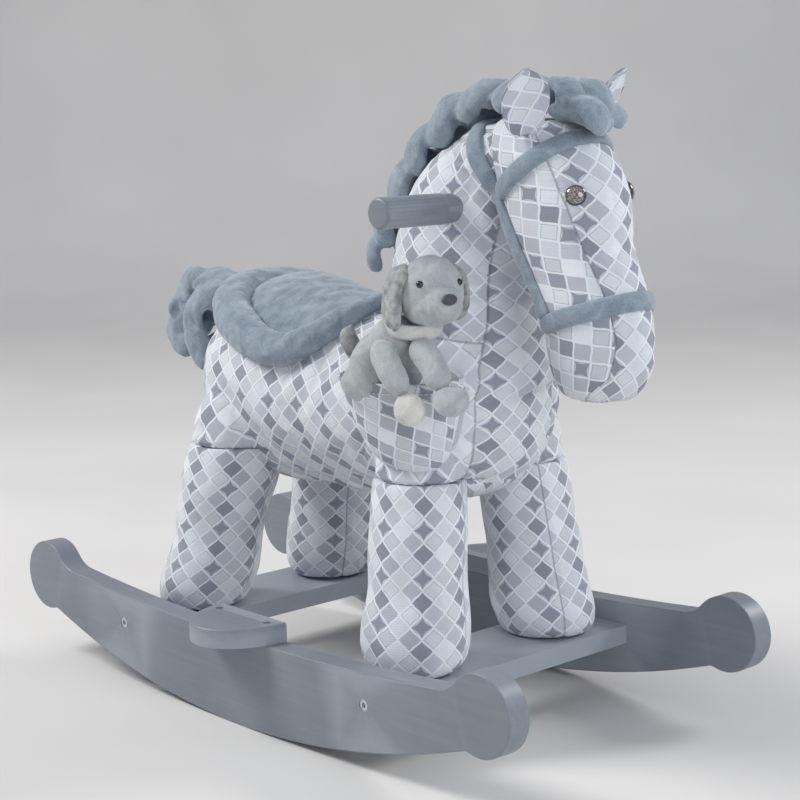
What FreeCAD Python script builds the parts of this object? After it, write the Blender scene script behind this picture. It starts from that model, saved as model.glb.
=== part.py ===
"""Plush rocking horse on a painted wooden rocker base.

Frame: millimetres, +X towards the horse's nose, +Y towards its left side, +Z up.
The origin is on the floor under the middle of the base.
"""
import FreeCAD, Part
import math
import os

V = FreeCAD.Vector
X_AXIS = V(1, 0, 0)
Y_AXIS = V(0, 1, 0)
Z_AXIS = V(0, 0, 1)

# ---------------------------------------------------------------- rocker base
ROCKER_ARC_R = 930.0          # radius of the curve that rolls on the floor
ROCKER_THICK = 24.0
ROCKER_OUTER_Y = 172.5        # outer face of each rocker from the centre plane
ROCKER_DISK_X = 324.5         # centre of each round rocker end
ROCKER_DISK_Z = 86.0
ROCKER_DISK_R = 36.0
ROCKER_WAIST_Z = 86.0         # top edge above the floor at mid length
ROCKER_TOP_RISE = 17.0        # rise of the top edge from mid length to the round ends
ROCKER_NECK_FILLET = 34.0     # hollow between the top edge and the round end
ROCKER_NOTCH_FILLET = 14.0    # small hollow between the rolling curve and the round end
ROCKER_EDGE_ROUND = 1.5

BOARD_X = 161.5               # centre of each cross board
BOARD_WIDTH = 90.0
BOARD_THICK = 18.0
BOARD_BOTTOM_Z = 53.0

FOOTREST_HALF_LENGTH = 50.0
FOOTREST_REACH = 65.0         # from the rocker's inner face outwards
FOOTREST_THICK = 18.0
FOOTREST_EDGE_ROUND = 2.5

BOLT_OFFSET_X = 21.5          # from the board's centre towards the rocker end
BOLT_R = 3.0
BOLT_LENGTH = 58.0
BOLT_HEAD_R = 5.5
BOLT_HEAD_DEPTH = 3.5
BOLT_SINK = 0.6               # the head sits this far below the rocker's face
BARREL_NUT_R = 5.0
BARREL_NUT_LENGTH = 14.0
BARREL_NUT_INSET = 28.0       # from the board's end to the nut's axis

DOWEL_R = 4.0
DOWEL_LENGTH = 36.0
DOWEL_IN_ROCKER = 14.0
DOWEL_OFFSETS_X = (0.0, -24.0)

FOOT_SCREW_X = 36.0
FOOT_SCREW_R = 2.0
FOOT_SCREW_LENGTH = 42.0
FOOT_SCREW_HEAD_R = 4.0
FOOT_SCREW_SINK = 1.5         # the head sits this far below the footrest's top

# ---------------------------------------------------------------- inner frame
POST_SIDE = 28.0
FRONT_LEG_FOOT = (158.0, 87.0)    # X and Y of the leg's centre at the board
FRONT_LEG_HIP = (142.0, 60.0)     # X and Y at the spine board
REAR_LEG_FOOT = (-164.0, 86.0)
REAR_LEG_HIP = (-112.0, 62.0)
LEG_BOLT_R = 3.0
LEG_BOLT_LENGTH = 58.0
LEG_BOLT_HEAD_R = 5.0
LEG_BOLT_HEAD_HEIGHT = 3.5
WASHER_R = 9.0
WASHER_THICK = 1.5

SPINE_BOTTOM_Z = 282.0
SPINE_THICK = 18.0
SPINE_HALF_WIDTH = 77.0
SPINE_FRONT_X = 164.0
SPINE_REAR_X = -148.0
SPINE_SCREW_R = 2.5
SPINE_SCREW_LENGTH = 50.0
SPINE_SCREW_HEAD_R = 5.0

NECK_BOARD_REAR_X = 116.0
NECK_BOARD_FRONT_X = 200.0
NECK_BOARD_THICK = 18.0
NECK_BOARD_TOP_Z = 522.0
BRACKET_LEG = 32.0
BRACKET_WIDTH = 30.0
BRACKET_THICK = 2.5
BRACKET_SCREW_R = 2.0
BRACKET_SCREW_LENGTH = 10.0
BRACKET_SCREW_HEAD_R = 3.8
BRACKET_SCREW_HEAD_HEIGHT = 2.0

HANDLE_X = 172.0
HANDLE_Z = 485.0
HANDLE_R = 13.75
HANDLE_HALF_LENGTH = 135.0
HANDLE_END_ROUND = 3.0
HANDLE_MIDDLE_R = 13.0          # turned down where the bar is inside the neck
HANDLE_SHOULDER_Y = 62.0       # where the grips start, just outside the neck
HANDLE_SCREW_R = 2.5
HANDLE_SCREW_LENGTH = 40.0
HANDLE_SCREW_HEAD_R = 4.5
HANDLE_SCREW_HEAD_DEPTH = 3.0

# ---------------------------------------------------------------- stuffed body
# torso: X, centre Z, half width, half height
TORSO = (
    (-188.0, 306.0, 30.0, 30.0),
    (-178.0, 305.0, 58.0, 58.0),
    (-150.0, 303.0, 84.0, 86.0),
    (-95.0, 302.0, 97.0, 100.0),
    (0.0, 296.0, 97.0, 91.0),
    (90.0, 297.0, 98.0, 90.0),
    (150.0, 300.0, 92.0, 86.0),
    (195.0, 300.0, 66.0, 62.0),
    (212.0, 300.0, 32.0, 30.0),
)
# neck: Z, centre X, half length, half width
NECK = (
    (326.0, 150.0, 78.0, 82.0),
    (378.0, 148.0, 80.0, 71.0),
    (430.0, 146.0, 79.0, 61.0),
    (480.0, 156.0, 76.0, 53.0),
    (525.0, 182.0, 66.0, 47.0),
    (556.0, 206.0, 42.0, 32.0),
)
# head: Z, centre X, half length, half width
HEAD = (
    (322.0, 300.0, 18.0, 16.0),
    (332.0, 302.0, 38.0, 31.0),
    (352.0, 304.0, 49.0, 39.0),
    (378.0, 303.0, 52.0, 42.0),
    (410.0, 294.0, 54.0, 42.0),
    (454.0, 272.0, 60.0, 44.0),
    (497.0, 262.0, 63.0, 47.0),
    (532.0, 246.0, 58.0, 46.0),
    (552.0, 236.0, 44.0, 37.0),
    (562.0, 232.0, 22.0, 20.0),
)
LEG_FOOT_R = 47.5
LEG_MID_R = 46.5
LEG_MID_Z = 150.0
FRONT_LEG_HIP_R = 44.0
REAR_LEG_HIP_R = 49.0
LEG_HIP_Z = 245.0
LEG_TOP_Z = 296.0
LEG_TOP_SHARE = 0.62          # the leg's top, where it is sewn in, as a share of its hip radius
LEG_HEM_ROUND = 8.0

EAR_BASE = V(259, 44, 556)
EAR_TIP = V(279, 63, 603)
EAR_ACROSS = V(0.66, -0.73, 0) # level direction across the left ear
EAR_HALF_WIDTH = 20.0
EAR_THICK = 12.0
EAR_GAP = 3.0                 # between an ear's root and the bridle round the head
EAR_ROOM = 7.0                # between an ear at rest and the mane or forelock

EYE_POINT = V(305, 32, 499)
EYE_R = 9.0
EYE_DOME = 5.0
EYE_STEM_R = 2.5
EYE_STEM_LENGTH = 16.0
EYE_WASHER_R = 7.0
EYE_WASHER_THICK = 2.0
EYE_WASHER_INSET = 6.0

STRAP_WIDTH = 16.0
STRAP_PROUD = 5.0             # height of the padded bridle over the head
STRAP_ROOT = V(196, 0, 545)   # where the cheek strap passes behind the ears
STRAP_CORNER = V(286, 0, 392) # where the cheek strap meets the noseband
NOSEBAND_FRONT = V(346, 0, 411)
BROWBAND_REAR = V(207, 0, 487)
BROWBAND_TOP = V(287, 0, 543)

# mane: X, Z of the middle of each tuft, tuft radius
MANE = (
    (52.0, 443.0, 16.0),
    (70.0, 476.0, 19.0),
    (92.0, 511.0, 21.0),
    (122.0, 540.0, 22.0),
    (156.0, 562.0, 21.0),
    (192.0, 575.0, 19.0),
)
MANE_HALF_WIDTH = 26.0
FORELOCK_CENTRE = V(290, 0, 560)
FORELOCK_HALF = V(30, 24, 17)

TAIL_ROOT = V(-186, 0, 360)
TAIL_GAP = 4.0                # between the tail's root and the rump
TAIL_LENGTH = 92.0
TAIL_R = 36.0

# ---------------------------------------------------------------- saddle
SADDLE_REAR_X = -170.0
SADDLE_FRONT_X = 52.0
SADDLE_HALF_WIDTH = 88.0
SADDLE_ROLL_WIDTH = 30.0
SADDLE_ROLL_PROUD = 21.0
SADDLE_SEAT_PROUD = 10.0

# ---------------------------------------------------------------- pocket and toy
POCKET_WALL = 3.0
# pocket outside: Z, centre X, centre Y, half length, half depth
POCKET = (
    (256.0, 160.0, -88.0, 30.0, 22.0),
    (285.0, 158.0, -92.0, 50.0, 33.0),
    (338.0, 154.0, -94.0, 60.0, 55.0),
)
TOY_CLEARANCE = 2.0           # between the toy and the pocket that it slides out of
TOY_LIFT_DIRECTION = V(0.45, -0.5, 0.74)
TOY_LIFT_STEP = 5.0
TOY_LIFT_STEPS = 10           # past these steps the toy is out of the pocket
TOY_FACING = V(0.729, -0.685, 0)  # the way the toy's chest looks
TOY_BODY_CENTRE = V(162, -122, 352)
TOY_BODY_HALF = V(36, 22, 35)
TOY_HEAD_CENTRE = V(203, -104, 418)
TOY_HEAD_R = 30.0
TOY_HEAD_HEIGHT_RATIO = 1.1
TOY_MUZZLE_CENTRE = V(222, -117, 411)
TOY_MUZZLE_R = 20.0
TOY_COLLAR_HALF = V(25, 22, 8)
TOY_EAR_LENGTH = 66.0
TOY_EAR_WIDTH = 28.0
TOY_EAR_THICK = 9.0
TOY_SHOULDERS = (V(172, -130, 366), V(200, -112, 366))
TOY_WRISTS = (V(213, -142, 333), V(240, -126, 338))
TOY_ARM_R = 14.0
TOY_PAWS = (V(219, -144, 321), V(251, -126, 328))
TOY_PAW_HALF = (V(16.5, 14, 16.5), V(20, 13, 13))
TOY_EYE_R = 3.2
TOY_EYES = (V(212, -131, 427), V(229, -102, 429))
TOY_NOSE_CENTRE = V(239, -128, 419)
TOY_NOSE_HALF = V(5, 8, 5)
TOY_TAIL_CENTRE = V(114, -116, 365)
TOY_TAIL_HALF = V(11, 9, 18)

ELLIPSE_POINTS = 12
ELLIPSOID_LATITUDES = (-78, -52, -26, 0, 26, 52, 78)


def mirrored(shape):
    """The same piece on the horse's other side."""
    return shape.mirror(V(0, 0, 0), Y_AXIS)


def ellipse_wire(centre, axis_a, half_a, axis_b, half_b):
    """A closed smooth curve through points of an ellipse."""
    points = []
    for step in range(ELLIPSE_POINTS):
        angle = 2 * math.pi * step / ELLIPSE_POINTS
        points.append(centre + axis_a * (half_a * math.cos(angle)) + axis_b * (half_b * math.sin(angle)))
    curve = Part.BSplineCurve()
    curve.interpolate(points, PeriodicFlag=True)
    return Part.Wire([curve.toShape()])


def ellipsoid(centre, half, axis_a=X_AXIS, axis_b=Y_AXIS):
    """A closed ellipsoid; half.x lies along axis_a, half.y along axis_b."""
    axis_c = axis_a.cross(axis_b)
    wires = []
    for degrees in ELLIPSOID_LATITUDES:
        height = math.sin(math.radians(degrees)) * half.z
        share = math.cos(math.radians(degrees))
        wires.append(ellipse_wire(centre + axis_c * height, axis_a, half.x * share, axis_b, half.y * share))
    return loft(wires)


def loft(wires):
    return Part.makeLoft(wires, True, False)


def cylinder(base, direction, radius, length):
    return Part.makeCylinder(radius, length, base, direction)


def box_between(low, high):
    size = high - low
    return Part.makeBox(size.x, size.y, size.z, low)


def cut_all(shape, tools):
    """The shape with every tool that reaches it taken away."""
    near = [tool for tool in tools if shape.BoundBox.intersect(tool.BoundBox)]
    return shape.cut(near) if near else shape


def largest_solid(shape):
    return max(shape.Solids, key=lambda solid: solid.Volume)


def write(name, shape):
    solids = [solid for solid in shape.Solids if solid.Volume > 1.0]
    if not solids:
        raise ValueError("no solid in " + name)
    Part.makeCompound(solids).exportStep(os.path.join("parts", name + ".step"))


# ---------------------------------------------------------------- forms shared by several pieces
def torso_form(grow=0.0):
    """The stuffed torso, with its surface moved out by grow."""
    wires = []
    last = len(TORSO) - 1
    for index, (x, z, half_width, half_height) in enumerate(TORSO):
        shift = {0: -grow, last: grow}.get(index, 0.0)
        wires.append(ellipse_wire(V(x + shift, 0, z), Y_AXIS, half_width + grow, Z_AXIS, half_height + grow))
    return loft(wires)


def upright_form(sections, grow=0.0):
    """A stuffed form lofted through level ellipses, with its surface moved out by grow."""
    wires = []
    last = len(sections) - 1
    for index, (z, x, half_length, half_width) in enumerate(sections):
        shift = {0: -grow, last: grow}.get(index, 0.0)
        wires.append(ellipse_wire(V(x, 0, z + shift), X_AXIS, half_length + grow, Y_AXIS, half_width + grow))
    return loft(wires)


def leg_centre(foot, hip, z):
    """Middle of a leg at height z, on the straight line from board to spine board."""
    share = (z - (BOARD_BOTTOM_Z + BOARD_THICK)) / (SPINE_BOTTOM_Z - BOARD_BOTTOM_Z - BOARD_THICK)
    return V(foot[0] + (hip[0] - foot[0]) * share, foot[1] + (hip[1] - foot[1]) * share, z)


LEGS = {
    "front": (FRONT_LEG_FOOT, FRONT_LEG_HIP, FRONT_LEG_HIP_R),
    "rear": (REAR_LEG_FOOT, REAR_LEG_HIP, REAR_LEG_HIP_R),
}
BOARD_TOP_Z = BOARD_BOTTOM_Z + BOARD_THICK
SPINE_TOP_Z = SPINE_BOTTOM_Z + SPINE_THICK
ROCKER_INNER_Y = ROCKER_OUTER_Y - ROCKER_THICK
FOOTREST_TOP_Z = ROCKER_WAIST_Z + FOOTREST_THICK
BOARD_ENDS = (1, -1)              # front and rear
RIGHT = V(0, -1, 0)
DOWN = V(0, 0, -1)
BOARD_MID_Z = BOARD_BOTTOM_Z + BOARD_THICK / 2
BRACKET_X = (NECK_BOARD_REAR_X + SPINE_FRONT_X) / 2


# ---------------------------------------------------------------- base
def footrest():
    """A half-ellipse board whose straight edge lines up with the rocker's inner face."""
    middle = V(0, ROCKER_INNER_Y, ROCKER_WAIST_Z)
    tip = middle + V(0, FOOTREST_REACH, 0)
    side = middle + V(FOOTREST_HALF_LENGTH, 0, 0)
    outline = Part.Wire([Part.Ellipse(tip, side, middle).toShape()])
    disc = Part.Face(outline).extrude(V(0, 0, FOOTREST_THICK))
    keep = box_between(V(-FOOTREST_HALF_LENGTH - 1, ROCKER_INNER_Y, ROCKER_WAIST_Z - 1),
                       V(FOOTREST_HALF_LENGTH + 1, ROCKER_INNER_Y + FOOTREST_REACH + 1, FOOTREST_TOP_Z + 1))
    board = largest_solid(disc.common(keep))
    top_edges = [edge for edge in board.Edges
                 if edge.BoundBox.ZMin > FOOTREST_TOP_Z - 0.01 and edge.BoundBox.YLength > 1]
    return board.makeFillet(FOOTREST_EDGE_ROUND, top_edges)


def across_edges(shape):
    """The straight edges that run from the rocker's inner to its outer face."""
    return [edge for edge in shape.Edges
            if abs(edge.BoundBox.YLength - ROCKER_THICK) < 0.01 and edge.BoundBox.XLength < 0.01]


def rocker_blank():
    """The left rocker: a curved bar with a round end at each side, before any holes."""
    y = ROCKER_INNER_Y
    reach = ROCKER_DISK_X
    end_bottom_z = ROCKER_ARC_R - math.sqrt(ROCKER_ARC_R ** 2 - reach ** 2)
    end_top_z = ROCKER_WAIST_Z + ROCKER_TOP_RISE
    bottom = Part.Arc(V(-reach, y, end_bottom_z), V(0, y, 0), V(reach, y, end_bottom_z)).toShape()
    top = Part.Arc(V(reach, y, end_top_z), V(0, y, ROCKER_WAIST_Z), V(-reach, y, end_top_z)).toShape()
    front = Part.makeLine(V(reach, y, end_bottom_z), V(reach, y, end_top_z))
    rear = Part.makeLine(V(-reach, y, end_top_z), V(-reach, y, end_bottom_z))
    bar = Part.Face(Part.Wire([bottom, front, top, rear])).extrude(V(0, ROCKER_THICK, 0))
    for side in (-1, 1):
        bar = bar.fuse(cylinder(V(side * reach, y, ROCKER_DISK_Z), Y_AXIS, ROCKER_DISK_R, ROCKER_THICK))
    bar = bar.removeSplitter()
    upper = [edge for edge in across_edges(bar) if edge.BoundBox.ZMin > ROCKER_WAIST_Z]
    bar = bar.makeFillet(ROCKER_NECK_FILLET, upper)
    lower = [edge for edge in across_edges(bar) if edge.BoundBox.ZMin < ROCKER_DISK_Z - ROCKER_DISK_R / 2]
    bar = bar.makeFillet(ROCKER_NOTCH_FILLET, lower)
    rims = [edge for edge in bar.Edges if edge.BoundBox.YLength < 0.01]
    return bar.makeFillet(ROCKER_EDGE_ROUND, rims)


def hexagon(centre, direction, across_flats, depth):
    """A hexagonal prism from centre along direction, which is a row axis."""
    side = X_AXIS if abs(direction.x) < 0.5 else Y_AXIS
    other = direction.cross(side)
    radius = across_flats / math.sqrt(3.0)
    corners = []
    for step in range(7):
        angle = math.radians(60.0 * step)
        corners.append(centre + side * (radius * math.cos(angle)) + other * (radius * math.sin(angle)))
    return Part.Face(Part.makePolygon(corners)).extrude(direction * depth)


def screw_blank(top, direction, head_r, head_depth, shaft_r, length, flat_head=False):
    """A screw without its socket, from the middle of its head's top towards its tip."""
    if flat_head:
        head = cylinder(top, direction, head_r, head_depth)
    else:
        head = Part.makeCone(head_r, shaft_r, head_depth, top, direction)
    shaft = cylinder(top + direction * head_depth, direction, shaft_r, length - head_depth)
    return head.fuse(shaft).removeSplitter()


def socketed(blank, top, direction, head_r, head_depth):
    return blank.cut(hexagon(top, direction, head_r * 0.8, head_depth * 0.6))


def both_sides(shapes):
    return shapes + [mirrored(shape) for shape in shapes]


class Screws:
    """Screws of one kind: their finished solids, and the holes that they need."""

    def __init__(self):
        self.pieces = []
        self.holes = []

    def add(self, top, direction, head_r, head_depth, shaft_r, length, flat_head=False, sink=0.0):
        blank = screw_blank(top, direction, head_r, head_depth, shaft_r, length, flat_head)
        self.pieces.append(socketed(blank, top, direction, head_r, head_depth))
        if sink:
            blank = blank.fuse(cylinder(top - direction * sink, direction, head_r, sink)).removeSplitter()
        self.holes.append(blank)

    def mirror(self):
        self.pieces = both_sides(self.pieces)
        self.holes = both_sides(self.holes)
        return self


def rocker_bolts():
    bolts = Screws()
    for end in BOARD_ENDS:
        top = V(end * (BOARD_X + BOLT_OFFSET_X), ROCKER_OUTER_Y - BOLT_SINK, BOARD_MID_Z)
        bolts.add(top, RIGHT, BOLT_HEAD_R, BOLT_HEAD_DEPTH, BOLT_R, BOLT_LENGTH, sink=BOLT_SINK)
    return bolts.mirror()


def barrel_nuts():
    nuts = []
    for end in BOARD_ENDS:
        base = V(end * (BOARD_X + BOLT_OFFSET_X), ROCKER_INNER_Y - BARREL_NUT_INSET, BOARD_BOTTOM_Z)
        nuts.append(cylinder(base, Z_AXIS, BARREL_NUT_R, BARREL_NUT_LENGTH))
    return both_sides(nuts)


def board_dowels():
    dowels = []
    for end in BOARD_ENDS:
        for offset in DOWEL_OFFSETS_X:
            base = V(end * (BOARD_X + offset), ROCKER_INNER_Y + DOWEL_IN_ROCKER, BOARD_MID_Z)
            dowels.append(cylinder(base, RIGHT, DOWEL_R, DOWEL_LENGTH))
    return both_sides(dowels)


def footrest_screws():
    screws = Screws()
    for side in (-1, 1):
        top = V(side * FOOT_SCREW_X, ROCKER_INNER_Y + ROCKER_THICK / 2, FOOTREST_TOP_Z - FOOT_SCREW_SINK)
        screws.add(top, DOWN, FOOT_SCREW_HEAD_R, FOOT_SCREW_HEAD_R - FOOT_SCREW_R, FOOT_SCREW_R,
                   FOOT_SCREW_LENGTH, sink=FOOT_SCREW_SINK)
    return screws.mirror()


def cross_board(end):
    return box_between(
        V(end * BOARD_X - BOARD_WIDTH / 2, -ROCKER_INNER_Y, BOARD_BOTTOM_Z),
        V(end * BOARD_X + BOARD_WIDTH / 2, ROCKER_INNER_Y, BOARD_TOP_Z))


# ---------------------------------------------------------------- inner frame
def leg_post(foot, hip):
    """A square post that leans from the cross board to the spine board."""
    wires = []
    for x, y, z in ((foot[0], foot[1], BOARD_TOP_Z), (hip[0], hip[1], SPINE_BOTTOM_Z)):
        half = POST_SIDE / 2
        corners = [V(x - half, y - half, z), V(x + half, y - half, z), V(x + half, y + half, z),
                   V(x - half, y + half, z), V(x - half, y - half, z)]
        wires.append(Part.makePolygon(corners))
    return Part.makeLoft(wires, True, True)


def leg_bolts():
    bolts = Screws()
    for foot, _, _ in LEGS.values():
        top = V(foot[0], foot[1], BOARD_BOTTOM_Z - WASHER_THICK - LEG_BOLT_HEAD_HEIGHT)
        bolts.add(top, Z_AXIS, LEG_BOLT_HEAD_R, LEG_BOLT_HEAD_HEIGHT, LEG_BOLT_R,
                  LEG_BOLT_LENGTH, flat_head=True)
    return bolts.mirror()


def leg_bolt_washers():
    washers = []
    for foot, _, _ in LEGS.values():
        base = V(foot[0], foot[1], BOARD_BOTTOM_Z)
        washers.append(cylinder(base, DOWN, WASHER_R, WASHER_THICK).cut(
            cylinder(base, DOWN, LEG_BOLT_R, WASHER_THICK)))
    return both_sides(washers)


def spine_board():
    return box_between(V(SPINE_REAR_X, -SPINE_HALF_WIDTH, SPINE_BOTTOM_Z),
                       V(SPINE_FRONT_X, SPINE_HALF_WIDTH, SPINE_TOP_Z))


def spine_screws():
    screws = Screws()
    for _, hip, _ in LEGS.values():
        top = V(hip[0], hip[1], SPINE_TOP_Z)
        screws.add(top, DOWN, SPINE_SCREW_HEAD_R, SPINE_SCREW_HEAD_R - SPINE_SCREW_R, SPINE_SCREW_R,
                   SPINE_SCREW_LENGTH)
    return screws.mirror()


def neck_board():
    return box_between(V(NECK_BOARD_REAR_X, -NECK_BOARD_THICK / 2, SPINE_TOP_Z),
                       V(NECK_BOARD_FRONT_X, NECK_BOARD_THICK / 2, NECK_BOARD_TOP_Z))


def neck_brackets():
    """Steel angles that hold the neck board upright on the spine board."""
    face_y = NECK_BOARD_THICK / 2
    low = V(BRACKET_X - BRACKET_WIDTH / 2, face_y, SPINE_TOP_Z)
    flat = box_between(low, low + V(BRACKET_WIDTH, BRACKET_LEG, BRACKET_THICK))
    upright = box_between(low, low + V(BRACKET_WIDTH, BRACKET_THICK, BRACKET_LEG))
    return both_sides([flat.fuse(upright).removeSplitter()])


def bracket_screws():
    screws = Screws()
    reach = BRACKET_LEG * 0.65
    for side in (-1, 1):
        x = BRACKET_X + side * BRACKET_WIDTH * 0.27
        flat_top = V(x, NECK_BOARD_THICK / 2 + reach, SPINE_TOP_Z + BRACKET_THICK + BRACKET_SCREW_HEAD_HEIGHT)
        upright_top = V(x, NECK_BOARD_THICK / 2 + BRACKET_THICK + BRACKET_SCREW_HEAD_HEIGHT, SPINE_TOP_Z + reach)
        for top, direction in ((flat_top, DOWN), (upright_top, RIGHT)):
            screws.add(top, direction, BRACKET_SCREW_HEAD_R, BRACKET_SCREW_HEAD_HEIGHT, BRACKET_SCREW_R,
                       BRACKET_SCREW_HEAD_HEIGHT + BRACKET_SCREW_LENGTH, flat_head=True)
    return screws.mirror()


def handle_bar():
    """A turned bar: two round grips and a thinner middle that goes through the neck."""
    middle = cylinder(V(HANDLE_X, -HANDLE_SHOULDER_Y, HANDLE_Z), Y_AXIS, HANDLE_MIDDLE_R, 2 * HANDLE_SHOULDER_Y)
    grip = cylinder(V(HANDLE_X, HANDLE_SHOULDER_Y, HANDLE_Z), Y_AXIS, HANDLE_R, HANDLE_HALF_LENGTH - HANDLE_SHOULDER_Y)
    rims = [edge for edge in grip.Edges if edge.BoundBox.YMin > HANDLE_HALF_LENGTH - 0.01]
    grip = grip.makeFillet(HANDLE_END_ROUND, rims)
    return middle.fuse([grip, mirrored(grip)])


def handle_screw():
    screws = Screws()
    screws.add(V(NECK_BOARD_FRONT_X, 0, HANDLE_Z), V(-1, 0, 0), HANDLE_SCREW_HEAD_R, HANDLE_SCREW_HEAD_DEPTH,
               HANDLE_SCREW_R, HANDLE_SCREW_LENGTH)
    return screws


# ---------------------------------------------------------------- stuffed pieces
def leg_form(foot, hip, hip_r):
    """A stuffed leg with a rounded hem that stands on the cross board."""
    heights = (
        (BOARD_TOP_Z, LEG_FOOT_R - LEG_HEM_ROUND * 0.8),
        (BOARD_TOP_Z + LEG_HEM_ROUND, LEG_FOOT_R),
        (LEG_MID_Z, LEG_MID_R),
        (LEG_HIP_Z, hip_r),
        (LEG_TOP_Z, hip_r * LEG_TOP_SHARE),
    )
    wires = []
    for z, radius in heights:
        wires.append(ellipse_wire(leg_centre(foot, hip, z), X_AXIS, radius, Y_AXIS, radius))
    return loft(wires)


def slab(start, end, thick):
    """A plate across the whole width whose middle plane holds both points; Y is in the plane."""
    along = (end - start).normalize()
    normal = V(-along.z, 0, along.x)
    reach = 400.0
    corners = []
    for a, b in ((0, -0.5), (1, -0.5), (1, 0.5), (0, 0.5), (0, -0.5)):
        corners.append(start + along * ((end - start).Length * a) + normal * (thick * b) - Y_AXIS * (reach / 2))
    return Part.Face(Part.makePolygon(corners)).extrude(Y_AXIS * reach)


def extended(start, end, before, after):
    along = (end - start).normalize()
    return start - along * before, end + along * after


def saddle_outline(inset):
    """A teardrop in plan: round behind, narrower towards the neck."""
    rear_r = SADDLE_HALF_WIDTH - inset
    rear_centre = SADDLE_REAR_X + SADDLE_HALF_WIDTH
    front_x = SADDLE_FRONT_X - inset
    front_half = SADDLE_HALF_WIDTH * 0.42 - inset * 0.55
    points = (
        V(front_x, 0, 0),
        V(front_x - 8, front_half * 0.7, 0),
        V(front_x - 34, front_half * 1.35, 0),
        V(rear_centre + rear_r * 0.55, rear_r * 0.97, 0),
        V(rear_centre - rear_r * 0.15, rear_r, 0),
        V(rear_centre - rear_r * 0.8, rear_r * 0.66, 0),
        V(rear_centre - rear_r, 0, 0),
    )
    back = [V(p.x, -p.y, 0) for p in reversed(points[1:-1])]
    curve = Part.BSplineCurve()
    curve.interpolate(list(points) + back, PeriodicFlag=True)
    return Part.Face(Part.Wire([curve.toShape()]))


def saddle_prism(inset):
    face = saddle_outline(inset)
    face.translate(V(0, 0, TORSO[3][1]))
    return face.extrude(V(0, 0, 200))


def ear_form(grow):
    """The left ear, a pointed leaf; grow widens it all round."""
    along = (EAR_TIP - EAR_BASE).normalize()
    across = (EAR_ACROSS - along * EAR_ACROSS.dot(along)).normalize()
    face = along.cross(across)
    length = (EAR_TIP - EAR_BASE).Length
    wires = []
    for share, width in ((-0.12, 0.62), (0.1, 0.85), (0.4, 1.0), (0.68, 0.8), (0.9, 0.42), (1.0, 0.16)):
        wires.append(ellipse_wire(EAR_BASE + along * (length * share), across, EAR_HALF_WIDTH * width + grow,
                                  face, EAR_THICK / 2 * (0.4 + 0.6 * width) + grow))
    return loft(wires)


def eye(outward):
    """A domed safety eye: the dome stands on the head and its stem goes inside."""
    seat = EYE_POINT - outward * 1.0
    side = outward.cross(Z_AXIS).normalize()
    dome = ellipsoid(seat, V(EYE_R, EYE_R, EYE_DOME + 1.0), side, outward.cross(side))
    front = cylinder(seat, outward, EYE_R * 1.2, EYE_DOME * 3)
    dome = dome.common(front)
    return dome.fuse(cylinder(seat, outward * -1, EYE_STEM_R, EYE_STEM_LENGTH)).removeSplitter()


def eye_washer(outward):
    base = EYE_POINT - outward * (1.0 + EYE_WASHER_INSET)
    ring = cylinder(base, outward * -1, EYE_WASHER_R, EYE_WASHER_THICK)
    return ring.cut(cylinder(base, outward * -1, EYE_STEM_R, EYE_WASHER_THICK))


def mane_form():
    """Curled plush tufts down the back of the neck, run together as one crest."""
    tufts = [ellipsoid(V(x, 0, z), V(radius, MANE_HALF_WIDTH, radius)) for x, z, radius in MANE]
    crest = tufts[0]
    for tuft in tufts[1:]:
        crest = crest.fuse(tuft)
    return crest


def tail_form():
    """A rounded bunch of plush curls that hangs out behind the saddle."""
    wires = []
    shape = ((0.0, 0.2, 0.0), (0.2, 0.72, 0.0), (0.55, 1.0, 2.0), (0.85, 0.8, 6.0), (1.0, 0.35, 9.0))
    for share, radius, drop in shape:
        centre = TAIL_ROOT + V(-TAIL_GAP - TAIL_LENGTH * share, 0, -drop)
        wires.append(ellipse_wire(centre, Y_AXIS, TAIL_R * radius * 0.8, Z_AXIS, TAIL_R * radius))
    return loft(wires)


# ---------------------------------------------------------------- pocket and toy
def pocket_form(inset):
    wires = []
    last = len(POCKET) - 1
    for index, (z, x, y, half_length, half_depth) in enumerate(POCKET):
        lift = inset if index == 0 else 0.0
        wires.append(ellipse_wire(V(x, y, z + lift), X_AXIS, half_length - inset, Y_AXIS, half_depth - inset))
    return loft(wires)


def limb(start, end, radius):
    """A stuffed limb: round in section, fuller in the middle than at its ends."""
    along = (end - start).normalize()
    across = along.cross(Z_AXIS).normalize()
    other = along.cross(across)
    length = (end - start).Length
    wires = []
    for share, width in ((-0.2, 0.45), (0.05, 0.9), (0.4, 1.0), (0.85, 0.8), (1.1, 0.4)):
        wires.append(ellipse_wire(start + along * (length * share), across, radius * width, other, radius * width))
    return loft(wires)


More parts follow.
